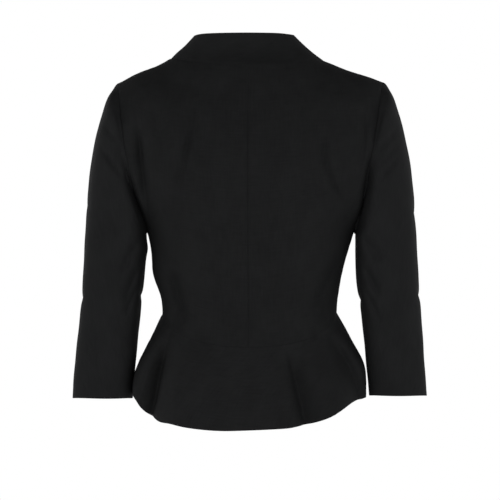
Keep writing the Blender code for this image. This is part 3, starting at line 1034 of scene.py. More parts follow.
FRONT_ROWS = (
    PanelRow("waist seam", 128.0, -6.0, -373.0, -103.0, -347.0, 90.0, 0.60, 0.60),
    PanelRow("hollow of the waist", 130.0, -6.0, -350.0, -105.5, -324.0, 90.0, 0.60, 0.55),
    PanelRow("ribs", 140.0, -6.0, -308.0, -118.0, -274.0, 90.0, 0.62, 0.50),
    PanelRow("underarm", 154.0, -5.0, -252.0, -127.0, -206.0, 90.0, 0.64, 0.50),
    PanelRow("low armhole", 152.0, -33.0, -242.0, -125.5, -191.0, 77.0, 0.64, 0.45),
    PanelRow("lower armhole", 154.5, -57.0, -212.0, -122.0, -174.0, 67.0, 0.63, 0.30),
    PanelRow("chest", 162.0, -69.0, -175.0, -116.0, -156.0, 58.0, 0.62, 0.20),
    PanelRow("middle armhole", 172.0, -69.0, -138.0, -108.5, -136.0, 54.0, 0.60, 0.10),
    PanelRow("upper armhole", 183.0, -60.0, -92.0, -98.5, -112.0, 52.0, 0.58, 0.0),
    PanelRow("top of armhole", 191.5, -40.0, -51.0, -89.0, -92.0, 50.0, 0.57, -0.10),
    PanelRow("shoulder tip", 195.0, -8.0, -31.0, -82.0, -80.0, 54.0, 0.57, -0.20),
    PanelRow("middle of shoulder", 156.0, -11.0, -17.0, -76.0, -70.0, 80.0, 0.57, -0.05),
    PanelRow("neck seam", 112.0, -12.0, 0.0, -70.0, -60.0, 90.0, 0.57, 0.0),
)


def columns_of(rows: tuple[PanelRow, ...]) -> dict[str, Array]:
    """Turns a table of rows into an array for each column."""
    return {name: np.array([getattr(row, name) for row in rows]) for name in ROW_COLUMNS}


def row_points(rows: dict[str, Array], shares: Array) -> Array:
    """Reads points of each row at shares of the way from the centre line to the edge.

    A row is a cubic curve. Its corner is where the line square to the centre line meets the line on
    which the row arrives at its edge, and both inner control points lie towards that corner.

    Args:
        rows: Columns of the rows.
        shares: 0 at the centre line and 1 at the edge.

    Returns:
        Grid of points, one row of them for each row.
    """
    reach = (rows["centre_y"] - rows["edge_y"]) / np.tan(np.radians(rows["turn"]))
    corner_x = rows["edge_x"] - np.abs(reach)
    full = rows["fullness"]
    climb = rows["edge_z"] - rows["centre_z"]
    start = np.stack([0.0 * full, rows["centre_y"], rows["centre_z"]], axis=1)
    leave = np.stack([full * corner_x, rows["centre_y"], rows["centre_z"]], axis=1)
    arrive_x = rows["edge_x"] + full * (corner_x - rows["edge_x"])
    arrive_y = rows["edge_y"] + full * (rows["centre_y"] - rows["edge_y"])
    arrive = np.stack([arrive_x, arrive_y, rows["edge_z"] - rows["rise"] * climb], axis=1)
    end = np.stack([rows[name] for name in EDGE_COLUMNS], axis=1)
    s = np.asarray(shares)[None, :, None]
    near = start[:, None] * (1.0 - s) ** 3 + leave[:, None] * 3.0 * s * (1.0 - s) ** 2
    return near + arrive[:, None] * 3.0 * s * s * (1.0 - s) + end[:, None] * s**3


@dataclass(frozen=True)
class Lap:
    """How the right front lies over the left one, in millimetres.

    Attributes:
        width: How far each front runs on past the centre line.
        lift: How far the right one stands off the left.
        far: Distance from the centre line where the right one starts to lift.
        near: Distance from it where it is fully lifted.
        columns: Points across the lapped strip.
    """

    width: float = 16.0
    lift: float = 1.8
    far: float = 55.0
    near: float = 20.0
    columns: int = 10

    def added(self, grid: Array) -> Array:
        """Runs a front on past the centre line, as a mirror image of the cloth there.

        Args:
            grid: Points of the wearer's left front, from the centre line out.

        Returns:
            The grid with the strip before its first column.
        """
        number = np.arange(len(grid))
        strip = []
        for distance in np.linspace(self.width, 0.0, self.columns, endpoint=False):
            after = np.maximum((grid[..., 0] < distance).sum(axis=1), 1)
            low = grid[number, after - 1]
            high = grid[number, after]
            share = (distance - low[:, 0]) / (high[:, 0] - low[:, 0])
            strip.append(Side.RIGHT.of(low + (high - low) * share[:, None]))
        return np.concatenate([np.stack(strip, axis=1), grid], axis=1)

    def lifted(self, grid: Array, side: Side) -> Array:
        """Raises the right front's pieces where they lie over the left ones.

        Args:
            grid: Points on either side.
            side: Which side it is.

        Returns:
            The grid, lifted on the right.
        """
        if side is Side.LEFT:
            return grid
        lifted = grid.copy()
        share = (grid[..., 0] + self.far) / (self.far - self.near)
        lifted[..., 1] -= self.lift * smooth_step(share)
        return lifted


LAP = Lap()


@dataclass(frozen=True)
class Lean:
    """How the collar leans towards the wearer's left, in millimetres.

    Attributes:
        amount: How far its top is moved.
        foot: Height where the lean starts.
        head: Height where it ends.
    """

    amount: float = 9.5
    foot: float = -20.0
    head: float = 36.0

    def applied(self, points: Array) -> Array:
        """Leans points.

        Args:
            points: Grid of points.

        Returns:
            The moved grid.
        """
        leant = points.copy()
        share = (points[..., 2] - self.foot) / (self.head - self.foot)
        leant[..., 0] += self.amount * smooth_step(share)
        return leant


LEAN = Lean()


@dataclass(frozen=True)
class BodiceForm:
    """The wearer's left half of the bodice, read smoothly from its tables, in millimetres.

    Attributes:
        back: Table of the back.
        front: Table of the front.
        underarm: Row at the underarm.
        shoulder_tip: Row at the shoulder tip.
        pitch: Distance between points.
        width: Usual width of a half panel.
        easing_rows: Rows of the grid that is eased.
        easing_passes: How often it is eased.
        uneased_edge: Share of the width by the edge where easing dies away.
        sharp_edge: Share of the width where the corners of the edge start to be met exactly.
        inset: Share of the width from which the direction at the armhole is read.
    """

    back: tuple[PanelRow, ...] = BACK_ROWS
    front: tuple[PanelRow, ...] = FRONT_ROWS
    underarm: int = 3
    shoulder_tip: int = 10
    pitch: float = 2.2
    width: float = 180.0
    easing_rows: int = 240
    easing_passes: int = 95
    uneased_edge: float = 0.14
    sharp_edge: float = 0.93
    inset: float = 0.98

    def rows(self, face: Face) -> tuple[PanelRow, ...]:
        """The table of the back or front."""
        return self.back if face is Face.BACK else self.front

    def knots(self, face: Face) -> Array:
        """Measures up a panel: the mean of the ways along its centre line and its edge.

        Args:
            face: Back or front.

        Returns:
            Distance up the panel at each row.
        """
        table = columns_of(self.rows(face))
        centre = np.stack([table["centre_y"], table["centre_z"]], axis=1)
        edge = np.stack([table[name] for name in EDGE_COLUMNS], axis=1)
        return 0.5 * (run_length(centre, 0) + run_length(edge, 0))

    def armhole_edge(self, face: Face, name: str, at: Array) -> Array:
        """Reads a column of the edge along the armhole, which carries on into the other panel's edge.

        Args:
            face: Back or front.
            name: The column.
            at: Distances up the panel.

        Returns:
            The column's values.
        """
        low, high = self.underarm, self.shoulder_tip
        knots = self.knots(face)
        beyond = self.knots(face.other)
        other = columns_of(self.rows(face.other))[name]
        below = knots[low] - (beyond[low + 1] - beyond[low])
        above = knots[high] + (beyond[high] - beyond[high - 1])
        ring = np.concatenate([[below], knots[low : high + 1], [above]])
        own = columns_of(self.rows(face))[name][low : high + 1]
        return through(ring, np.concatenate([[other[low + 1]], own, [other[high - 1]]]), at)

    def read(self, face: Face, at: Array) -> dict[str, Array]:
        """Reads a panel's columns at distances up it.

        The outer edge has corners at the underarm and at the shoulder tip, so it is read in three
        stretches: the side seam, the armhole and the shoulder seam.

        Args:
            face: Back or front.
            at: Distances up the panel.

        Returns:
            The columns of a row at each distance.
        """
        knots = self.knots(face)
        table = columns_of(self.rows(face))
        low, high = self.underarm, self.shoulder_tip
        on_side = at < knots[low]
        on_shoulder = at > knots[high]
        on_armhole = ~(on_side | on_shoulder)
        read = {}
        for name, values in table.items():
            if name not in EDGE_COLUMNS:
                read[name] = through(knots, values, at)
                continue
            read[name] = np.empty(len(at))
            read[name][on_side] = through(knots[: low + 1], values[: low + 1], at[on_side])
            read[name][on_armhole] = self.armhole_edge(face, name, at[on_armhole])
            read[name][on_shoulder] = through(knots[high:], values[high:], at[on_shoulder])
        return read

    def shares(self) -> Array:
        """Places of the columns from the centre line to the edge, as shares of the width."""
        return spaced(self.width, self.pitch) / self.width

    def heights(self, face: Face) -> Array:
        """Places of the rows, in three stretches so that the corners of the edge are met.

        Args:
            face: Back or front.

        Returns:
            Distances up the panel.
        """
        marks = self.knots(face)[[0, self.underarm, self.shoulder_tip, -1]]
        places = [low + spaced(high - low, self.pitch)[:-1] for low, high in zip(marks, marks[1:])]
        return np.concatenate([*places, marks[-1:]])

    def seam(self, face: Face, top: bool, shares: Array) -> Array:
        """Reads the neck seam (top) or the waist seam at shares of the width, as a grid of one row."""
        at = self.knots(face)[-1:] if top else np.zeros(1)
        return row_points(self.read(face, at), shares)

    def half(self, face: Face) -> Array:
        """Makes the grid of a half panel, from the waist up to the neck seam.

        The rows fan at the corners of the underarm and of the shoulder tip. Cloth has no crease
        there, so each point is eased towards the mean of the points above and below it, less near
        the outer edge.

        Args:
            face: Back or front.

        Returns:
            The grid.
        """
        shares = self.shares()
        fine_heights = np.linspace(0.0, self.knots(face)[-1], self.easing_rows)
        fine = row_points(self.read(face, fine_heights), shares)
        ease = 0.5 * smooth_step((1.0 - shares) / self.uneased_edge)[:, None]
        for _ in range(self.easing_passes):
            fine[1:-1] += ease * (0.5 * (fine[:-2] + fine[2:]) - fine[1:-1])
        heights = self.heights(face)
        grid = through(fine_heights, fine, heights)
        exact = row_points(self.read(face, heights), shares[-1:])
        near = smooth_step((shares - self.sharp_edge) / (1.0 - self.sharp_edge))[None, :, None]
        return grid + (exact - grid[:, -1:]) * near

    def armhole(self, shares: Array) -> tuple[Array, Array]:
        """Reads the left armhole from the shoulder tip down the back and up the front.

        Args:
            shares: Places from the underarm (0) to the shoulder tip (1).

        Returns:
            Points of the armhole, and the panels' outward directions there.
        """
        points = []
        normals = []
        levels = self.underarm + (self.shoulder_tip - self.underarm) * shares
        inset = np.array([self.inset, 1.0])
        for face, order in ((Face.BACK, np.s_[::-1]), (Face.FRONT, np.s_[1:-1])):
            knots = self.knots(face)
            at = np.interp(levels, np.arange(len(knots)), knots)
            strip = row_points(self.read(face, at), inset)
            up = np.gradient(strip[:, 1], axis=0)
            normal = unit(np.cross(up, strip[:, 1] - strip[:, 0])) * face.value
            points.append(strip[order, 1])
            normals.append(normal[order])
        return np.concatenate(points), np.concatenate(normals)


FORM = BodiceForm()

NECK_NUDGES = (
    Nudge("left slope of the funnel", (116.0, -12.0, 4.0), (26.0, 70.0, 20.0), (3.0, 0.0, 4.0)),
    Nudge("left shoulder", (160.0, -11.0, -18.0), (26.0, 60.0, 25.0), (0.0, 0.0, 3.0)),
    Nudge("right shoulder", (-146.0, -11.0, -14.0), (40.0, 60.0, 25.0), (0.0, 0.0, -2.4)),
)
SHOULDER_NUDGES = NECK_NUDGES + (
    Nudge("left shoulder tip", (197.0, -8.0, -31.0), (14.0, 45.0, 16.0), (0.0, 0.0, -2.0)),
    Nudge("right shoulder tip", (-197.0, -8.0, -31.0), (14.0, 45.0, 16.0), (0.0, 0.0, -1.5)),
    Nudge("left armhole", (166.0, 30.0, -188.0), (30.0, 32.0, 40.0), (8.0, 0.0, 0.0)),
    Nudge("right armhole", (-162.0, 28.0, -212.0), (30.0, 32.0, 34.0), (-7.0, 0.0, 0.0)),
)
WAIST_NUDGES = (
    Nudge("left end of the waist", (128.0, -6.0, -376.0), (32.0, 50.0, 26.0), (2.5, 0.0, 0.0)),
)
BODICE_NUDGES = SHOULDER_NUDGES + WAIST_NUDGES + (
    Nudge("left side", (140.0, -5.0, -321.0), (60.0, 70.0, 27.0), (7.0, 0.0, 0.0)),
    Nudge("right side", (-140.0, -5.0, -306.0), (60.0, 70.0, 30.0), (2.0, 0.0, 0.0)),
)

CREVICES = Crease.drawn(
    View.BACK,
    (
        "crevice by the left sleeve",
        ((188, -124), (175, -179), (167, -205), (159, -230), (153, -250), (150, -268)),
        -16.0, 4.2, 3.6, 0.6, 0.2, True,
    ),
    (
        "fold by the left armhole", ((163, -76), (158, -129), (154, -172), (150, -214), (147, -245)),
        -15.0, 7.0, 8.0, 0.4, 0.4, True,
    ),
    ("streak on the left armhole", ((180, -66), (182, -80), (186, -104)), -1.6, 4.0, 4.0, 0.5, 0.5, True),
    (
        "crevice by the right sleeve",
        ((-177, -124), (-172.5, -178), (-166.5, -218), (-158, -248), (-152, -268)),
        -20.0, 4.2, 6.5, 0.5, 0.2, True,
    ),
    (
        "hollow along the right armhole", ((-194, -74), (-189, -98), (-181, -130), (-175, -158)),
        -2.2, 5.0, 5.0, 0.4, 0.5, True,
    ),
) + Crease.drawn(
    View.FRONT,
    (
        "crevice before the left sleeve",
        ((176, -124), (163, -172), (155, -212), (152, -242), (153, -262)),
        -10.0, 6.0, 10.0, 0.55, 0.2, True,
    ),
    (
        "crevice before the right sleeve",
        ((-176, -124), (-163, -172), (-155, -212), (-152, -242), (-153, -262)),
        -10.0, 10.0, 6.0, 0.55, 0.2, True,
    ),
)
WAIST_GATHERS = Crease.drawn(
    View.BACK,
    ("first gather", ((-57, -396), (-65, -426)), -2.0, 5.0, 6.0, 0.5, 0.5, True),
    ("second gather", ((-69, -386), (-82, -424)), -3.0, 4.0, 5.0, 0.5, 0.5, True),
    ("third gather", ((-93, -382), (-97, -416)), -2.6, 4.5, 4.0, 0.5, 0.5, True),
    ("left gather", ((97, -374), (108, -406)), -2.0, 6.0, 5.0, 0.5, 0.5, True),
    (
        "hollow at the left waist", ((112, -352), (110, -382), (114, -412)),
        -8.0, 13.0, 15.0, 0.5, 0.5, True,
    ),
)

BODICE_CREASES = CREVICES + WAIST_GATHERS + Crease.drawn(
    View.BACK,
    (
        "left neck dart", ((62, -32), (68, -42), (75, -66), (80, -98), (86, -124), (96, -174)),
        -4.4, 4.0, 3.6, 0.6,
    ),
    ("hollow under the left dart", ((82, -104), (90, -150), (98, -192)), -4.2, 7.0, 8.0),
    ("right neck dart", ((-58, -28), (-68, -43), (-76, -74), (-77, -128)), -1.5, 2.6, 2.4, 0.2),
    (
        "fold by the right armhole", ((-162, -62), (-168, -107), (-166, -140), (-160, -180)),
        -6.5, 5.0, 5.0,
    ),
    (
        "curved fold on the right",
        ((-109, -92), (-109, -132), (-114, -164), (-124, -191), (-136, -213), (-148, -230)),
        -7.0, 7.0, 6.0,
    ),
    ("centre back seam", ((0, -18), (0, -200), (0, -386)), -1.0, 3.2, 3.2, 0.04, 0.02, True),
    ("short fold by the left shoulder", ((133, -76), (134, -120)), -1.6, 4.0, 4.0),
    ("drag left of the middle", ((48, -165), (50, -215), (52, -262)), -1.3, 7.0, 9.0),
    ("drag right of the middle", ((-47, -200), (-38, -232), (-28, -262)), -1.6, 6.0, 8.0),
    ("dimple on the right shoulder", ((-117, -41), (-133, -55)), -1.6, 6.0, 6.0),
    ("fold at the left waist", ((117, -300), (108, -334), (101, -358), (88, -390)), -18.0, 12.0, 7.0),
    (
        "fold at the right waist", ((-140, -278), (-120, -316), (-104, -350), (-84, -386)),
        -11.0, 9.0, 22.0,
    ),
) + Crease.drawn(
    View.FRONT,
    ("left waist dart", ((66, -352), (64, -310), (62, -262), (60, -232)), -2.4, 2.6, 2.6, 0.02),
    ("right waist dart", ((-66, -352), (-64, -310), (-62, -262), (-60, -232)), -2.4, 2.6, 2.6, 0.02),
    (
        "front fold by the left armhole", ((154, -88), (150, -140), (143, -196), (138, -236)),
        -7.0, 6.0, 5.0,
    ),
    ("front fold by the right armhole", ((-155, -80), (-151, -140), (-145, -204)), -6.0, 5.0, 6.0),
    ("front fold at the left waist", ((126, -296), (112, -333), (94, -360)), -8.0, 9.0, 13.0),
    ("front fold at the right waist", ((-127, -288), (-110, -328), (-90, -358)), -9.0, 14.0, 10.0),
    ("drag on the left chest", ((84, -78), (92, -120), (96, -168)), -3.2, 8.0, 7.0),
    ("drag on the right chest", ((-92, -84), (-98, -130), (-100, -160)), -2.8, 7.0, 8.0),
    ("left pull at a button", ((24, -264), (58, -268), (98, -262)), -1.8, 6.0, 8.0),
    ("right pull at a button", ((-30, -254), (-64, -248), (-104, -232)), -2.0, 7.0, 6.0),
)


@dataclass(frozen=True)
class Bodice:
    """The two backs and the two fronts.

    Attributes:
        form: Their shape.
        nudges: Where their outline is uneven.
        creases: Their creases.
        back_cut: Flat cut of a back.
        front_cut: Flat cut of a front.
        calm: How far from seams creases die away, in millimetres.
    """

    form: BodiceForm = FORM
    nudges: tuple[Nudge, ...] = BODICE_NUDGES
    creases: tuple[Crease, ...] = BODICE_CREASES
    back_cut: Cut = Cut(0.235, 0.450, 0.0825)
    front_cut: Cut = Cut(0.250, 0.420, 0.0723)
    calm: float = 7.0

    def build(self, material: bpy.types.Material) -> None:
        """Builds the four pieces.

        Args:
            material: The cloth's surface.
        """
        sewn = (Edge.SEWN, Edge.SEWN, Edge.SEWN, Edge.SEWN)
        open_front = (Edge.SEWN, Edge.SEWN, Edge.TURNED, Edge.SEWN)
        panels = (
            (Face.BACK, self.form.half(Face.BACK), sewn, self.back_cut),
            (Face.FRONT, LAP.added(self.form.half(Face.FRONT)), open_front, self.front_cut),
        )
        for side in Side:
            for face, half, edges, cut in panels:
                grid = side.of(half)
                if face is Face.FRONT:
                    grid = LAP.lifted(grid, side)
                grid = nudged(LEAN.applied(grid), self.nudges)
                flip = side.value == face.value
                hangs_from = ("collar", f"sleeve_{side.word}", f"{face.other.word}_{side.word}")
                node = f"{face.word}_{side.word}"
                piece = ClothPiece(node, grid, flip, edges, self.creases, self.calm, cut, hangs_from)
                piece.build(material)


# The sleeves.


@dataclass(frozen=True)
class SleeveRing:
    """A ring round the wearer's left sleeve, in millimetres.

    Attributes:
        place: Where it is.
        outer_x: Place across of its farthest point from the body.
        outer_z: Height of that point.
        inner_x: Place across of its nearest point to the body.
        inner_z: Height of that point.
        middle_y: Place of its middle in depth.
        half_depth: Its reach behind and before the middle.
        tilt: How far its back edge stands above its middle.
    """

    place: str
    outer_x: float
    outer_z: float
    inner_x: float
    inner_z: float
    middle_y: float
    half_depth: float
    tilt: float


SLEEVE_RINGS = (
    SleeveRing("sleeve head", 206.5, -46.0, 154.6, -255.5, -6.0, 65.0, 0.0),
    SleeveRing("top of the cap", 220.0, -80.0, 154.8, -262.0, -6.0, 65.0, 0.0),
    SleeveRing("middle of the cap", 232.5, -130.0, 155.0, -272.0, -6.0, 62.0, 0.0),
    SleeveRing("foot of the cap", 240.5, -188.0, 155.4, -286.0, -6.5, 57.5, 0.0),
    SleeveRing("upper arm", 245.0, -252.0, 157.0, -308.0, -8.0, 52.5, 0.0),
    SleeveRing("above the elbow", 248.5, -308.0, 160.5, -340.0, -10.0, 48.0, 0.5),
    SleeveRing("elbow", 252.0, -362.0, 164.5, -379.0, -13.0, 44.0, 1.5),
    SleeveRing("below the elbow", 256.5, -420.0, 169.5, -426.0, -17.5, 40.0, 2.5),
    SleeveRing("cuff", 262.0, -497.0, 176.5, -497.0, -25.0, 35.5, 3.3),
)

SLEEVE_NUDGES = SHOULDER_NUDGES + (
    Nudge("left cuff", (262.0, -25.0, -500.0), (50.0, 90.0, 110.0), (4.5, 0.0, 0.0)),
    Nudge("left inner arm", (156.0, -8.0, -278.0), (22.0, 50.0, 11.0), (-2.0, 0.0, 0.0)),
    Nudge("right inner arm", (-157.0, -8.0, -326.0), (26.0, 60.0, 30.0), (2.5, 0.0, 0.0)),
)

SLEEVE_CREASES = CREVICES + Crease.drawn(
    View.BACK,
    ("upper crease of the left cap", ((214, -94), (204, -109), (192, -125)), -3.2, 4.0, 4.5),
    ("lower crease of the left cap", ((221, -127), (201, -153), (181, -178)), -4.6, 4.0, 5.0),
    ("first fold inside the left arm", ((158, -262), (175, -290), (188, -320)), -7.0, 8.0, 7.0),
    ("second fold inside the left arm", ((159, -296), (174, -331), (186, -366)), -6.2, 5.5, 5.0),
    ("third fold inside the left arm", ((162, -327), (175, -356), (184, -384)), -5.4, 5.0, 4.5),
    ("upper crease of the right cap", ((-219, -100), (-204, -119), (-185, -140)), -3.0, 5.0, 4.5),
    ("middle crease of the right cap", ((-222, -121), (-207, -139), (-188, -162)), -2.4, 5.0, 4.0),
    ("lower crease of the right cap", ((-221, -142), (-204, -162), (-186, -188)), -3.2, 5.5, 4.5),
    ("first fold inside the right arm", ((-161, -256), (-178, -278), (-196, -301)), -7.4, 7.0, 8.0),
    ("second fold inside the right arm", ((-164, -300), (-180, -328), (-193, -358)), -6.4, 5.0, 5.5),
    ("third fold inside the right arm", ((-167, -336), (-180, -360), (-191, -386)), -5.2, 4.5, 5.0),
) + Crease.drawn(
    View.FRONT,
    ("front crease of the left cap", ((217, -116), (202, -137), (187, -159)), -3.6, 4.5, 4.0),
    ("first fold before the left elbow", ((160, -290), (178, -318), (202, -336)), -4.8, 6.0, 7.0),
    ("second fold before the left elbow", ((166, -336), (184, -358), (212, -368)), -4.0, 5.0, 5.5),
    ("front crease of the right cap", ((-218, -108), (-204, -127), (-190, -147)), -3.6, 4.0, 4.5),
    ("first fold before the right elbow", ((-160, -282), (-178, -308), (-204, -324)), -4.8, 7.0, 6.0),
    ("second fold before the right elbow", ((-166, -330), (-186, -350), (-214, -358)), -3.8, 5.5, 5.0),
) + Crease.drawn(
    View.LEFT,
    ("crease outside the left elbow", ((20, -338), (-6, -354), (-44, -352)), -2.4, 6.0, 6.0),
    ("crease on the left upper arm", ((26, -196), (-4, -224), (-30, -238)), -2.0, 7.0, 7.0),
) + Crease.drawn(
    View.RIGHT,
    ("crease outside the right elbow", ((18, -332), (-8, -348), (-46, -344)), -2.4, 6.0, 6.0),
    ("crease on the right upper arm", ((24, -206), (-6, -230), (-34, -240)), -2.0, 7.0, 7.0),
)


@dataclass(frozen=True)
class Sleeves:
    """The two set-in sleeves, open at the armhole and at the cuff, in millimetres.

    Attributes:
        bodice: The form whose armholes they are set into.
        rings: Their shape below the armhole.
        nudges: Where their outline is uneven.
        creases: Their creases.
        head: Width of the narrow ring that rolls over the armhole seam.
        squareness: How much fuller than an ellipse a ring is between its four sides.
        left_drop: How much lower the left cuff hangs.
        fork: Height below which it does.
        half_columns: Points down each half of a ring.
        pitch: Distance between rings.
        cut: Flat cut of a sleeve.
        calm: How far from the armhole seam creases die away.
    """

    bodice: BodiceForm = FORM
    rings: tuple[SleeveRing, ...] = SLEEVE_RINGS
    nudges: tuple[Nudge, ...] = SLEEVE_NUDGES
    creases: tuple[Crease, ...] = SLEEVE_CREASES
    head: float = 4.0
    squareness: float = 0.45
    left_drop: float = 5.0
    fork: float = -300.0
    half_columns: int = 64
    pitch: float = 2.4
    cut: Cut = Cut(0.400, 0.530, 0.1220)
    calm: float = 6.0

    def stations(self, side: Side) -> Array:
        """Works out the armhole, a narrow ring that carries on from it, and the table's rings.

        The narrow ring leaves the armhole towards the table's first ring, but never dips below the
        shoulder's own surface, so that the sleeve head rolls over the seam.

        Args:
            side: Which sleeve it is.

        Returns:
            Rings of points on that side.
        """
        shares = np.linspace(0.0, 1.0, self.half_columns + 1)
        angle = np.pi * np.concatenate([1.0 - shares[::-1], 1.0 + shares[1:-1]])
        armhole, normals = self.bodice.armhole(shares)
        rings = [armhole]
        for row in self.rings:
            outer = np.array([row.outer_x, row.middle_y, row.outer_z])
            inner = np.array([row.inner_x, row.middle_y, row.inner_z])
            ring = 0.5 * (outer + inner) + 0.5 * (outer - inner) * np.cos(angle)[:, None]
            ring[:, 1] += row.half_depth * np.sin(angle) * (1.0 + self.squareness * np.cos(angle) ** 2)
            ring[:, 2] += row.tilt * np.sin(angle)
            if side is Side.LEFT:
                below = (self.fork - ring[:, 2]) / (self.fork - self.rings[-1].outer_z)
                ring[:, 2] -= self.left_drop * np.clip(below, 0.0, 1.0)
            rings.append(ring)
        way = unit(rings[1] - rings[0])
        way = unit(way - np.minimum((way * normals).sum(1, keepdims=True), 0.0) * normals)
        rings.insert(1, rings[0] + way * self.head)
        return side.of(np.array(rings))

    def tube(self, side: Side) -> Array:
        """Makes the grid of a sleeve, from the armhole down to the cuff.

        Args:
            side: Which sleeve it is.

        Returns:
            The grid.
        """
        rings = self.stations(side)
        knots = run_length(rings, 0).mean(axis=1)
        return nudged(through(knots, rings, spaced(knots[-1], self.pitch)), self.nudges)

    def build(self, material: bpy.types.Material) -> None:
        """Builds both sleeves.

        Args:
            material: The cloth's surface.
        """
        edges = (Edge.SEWN, Edge.TURNED, Edge.JOINED, Edge.JOINED)
        for side in Side:
            grid = self.tube(side)
            flip = side is Side.LEFT
            hangs_from = (f"back_{side.word}", f"front_{side.word}")
            node = f"sleeve_{side.word}"
            piece = ClothPiece(node, grid, flip, edges, self.creases, self.calm, self.cut, hangs_from)
            piece.build(material)


# The collar.


@dataclass(frozen=True)
class Collar:
    """The funnel collar, from its left end under the lap, round the back, to its right end.

    Attributes:
        bodice: The form whose neck seam it stands on.
        back_top: Its top edge at the back.
        front_top: Its top edge at the front.
        height: Usual height, in millimetres.
        pitch: Distance between points.
        hollow: How far it curves in at half height.
        back_hollow: How much farther it curves in at the centre back.
        nudges: Where its outline is uneven.
        cut: Its flat cut.
        calm: How far from the neck seam unevenness dies away.
    """

    bodice: BodiceForm = FORM
    back_top: PanelRow = PanelRow("collar top", 74.0, -10.0, 36.5, 50.0, 35.0, 90.0, 0.60, 0.0)
    front_top: PanelRow = PanelRow("collar top", 74.0, -10.0, 36.5, -62.0, -14.0, 90.0, 0.57, 0.0)
    height: float = 56.0
    pitch: float = 2.2
    hollow: float = 1.2
    back_hollow: float = 4.0
    nudges: tuple[Nudge, ...] = NECK_NUDGES
    cut: Cut = Cut(0.520, 0.100, 0.0285)
    calm: float = 8.0

    def round_the_neck(self, front: Array, back: Array) -> Array:
        """Joins rows of the front and back, from the lapped end at the front to the centre back."""
        return np.concatenate([LAP.added(front), back[:, -2::-1]], axis=1)

    def ring(self) -> Array:
        """Makes the collar's grid, straight from the neck seam to its top edge but for the hollow.

        Returns:
            The grid.
        """
        shares = self.bodice.shares()
        seams = [self.bodice.seam(face, True, shares) for face in (Face.FRONT, Face.BACK)]
        tops = [row_points(columns_of((row,)), shares) for row in (self.front_top, self.back_top)]
        base = self.round_the_neck(*seams)
        height = (spaced(self.height, self.pitch) / self.height)[:, None, None]
        left = base + (self.round_the_neck(*tops) - base) * height
        right = Side.RIGHT.of(left)
        front = len(shares) + LAP.columns
        right[:, :front] = LAP.lifted(right[:, :front], Side.RIGHT)
        grid = LEAN.applied(np.concatenate([left, right[:, -2::-1]], axis=1))
        normals = grid_normals(grid, False, False)
        at_back = np.maximum(normals[..., 1], 0.0) ** 2
        bow = (self.hollow + self.back_hollow * at_back) * np.sin(np.pi * height[..., 0])
        return nudged(grid - normals * bow[..., None], self.nudges)

    def build(self, material: bpy.types.Material) -> None:
        """Builds the collar.

        Args:
            material: The cloth's surface.
        """
        edges = (Edge.SEWN, Edge.TURNED, Edge.TURNED, Edge.TURNED)
        hangs_from = ("back_left", "back_right", "front_left", "front_right")
        piece = ClothPiece("collar", self.ring(), False, edges, (), self.calm, self.cut, hangs_from)
        piece.build(material)


# The peplum.


@dataclass(frozen=True)
class Flute:
    """A flute or a fold of the peplum.

    Places run round the waist: 0 at the centre back, 1 at the left side seam, 2 at the centre front,
    and the same below zero on the wearer's right.

    Attributes:
        name: What it is.
        at_waist: Its place at the waist seam.
        at_hem: Its place at the hem.
        inner: How far it spreads towards the centre back.
        outer: How far it spreads away from it.
        swell: How far it stands out at the hem, in millimetres; a fold sinks in.
        is_sharp: Whether its line is a crease, from which the outer side rises ever more gently.
    """

    name: str
    at_waist: float
    at_hem: float
    inner: float
    outer: float
    swell: float
    is_sharp: bool

    def profile(self, around: Array, depth: Array) -> Array:
        """Height of its cross section at places round the waist, one at its line and zero beyond it.

        Args:
            around: Places round the waist.
            depth: Shares of the peplum's depth.

        Returns:
            The height at each place.
        """
        line = self.at_waist + (self.at_hem - self.at_waist) * depth
        away = (around - line) * np.sign(self.at_hem)
        inner = np.cos(0.5 * np.pi * np.clip(away / self.inner, -1.0, 0.0)) ** 2
        share = np.clip(away / self.outer, 0.0, 1.0)
        outer = (1.0 - share) ** 2 if self.is_sharp else np.cos(0.5 * np.pi * share) ** 2
        return np.where(away < 0.0, inner, outer)


FLUTES = (
    Flute("right back fold", -0.22, -0.26, 0.075, 0.26, -13.0, True),
    Flute("right back flute", -0.43, -0.48, 0.17, 0.17, 10.0, False),
    Flute("right side fold", -0.66, -0.75, 0.24, 0.25, -14.0, False),
    Flute("left back fold", 0.60, 0.55, 0.20, 0.36, -16.0, False),
    Flute("left side flute", 0.84, 0.82, 0.14, 0.16, 5.0, False),
    Flute("left front fold", 1.26, 1.29, 0.13, 0.13, -8.0, False),
    Flute("left front flute", 1.48, 1.52, 0.18, 0.18, 8.0, False),
    Flute("right front fold", -1.31, -1.35, 0.15, 0.15, -9.0, False),
    Flute("right front flute", -1.54, -1.58, 0.17, 0.17, 7.0, False),
)

# Place of the centre front, counted as for flutes.
CENTRE_FRONT = 2.0

# How far the hem rises above its even curve, in millimetres, at places counted as for flutes.
HEM_LIFTS = (
    (-2.0, 0.0), (-1.58, 1.0), (-1.35, 3.0), (-1.15, 1.5), (-1.0, 1.0), (-0.9, 3.0), (-0.8, 5.2),
    (-0.7, 9.3), (-0.6, 10.6), (-0.5, 7.8), (-0.4, 4.1), (-0.3, 1.2), (-0.2, 0.9), (-0.1, 1.3),
    (0.0, 0.9), (0.1, -0.9), (0.2, -2.2), (0.3, -3.4), (0.4, -4.1), (0.5, -8.0), (0.6, -6.6),
    (0.7, -2.0), (0.8, 4.6), (0.9, 5.0), (1.0, 4.0), (1.15, 2.0), (1.52, 2.0), (2.0, 0.0),
)

PEPLUM_NUDGES = WAIST_NUDGES + (
    Nudge("left side", (170.0, -8.0, -470.0), (60.0, 70.0, 42.0), (5.0, 0.0, 0.0)),
    Nudge("right side", (-158.0, -8.0, -450.0), (50.0, 60.0, 30.0), (-5.0, 0.0, 0.0)),
)

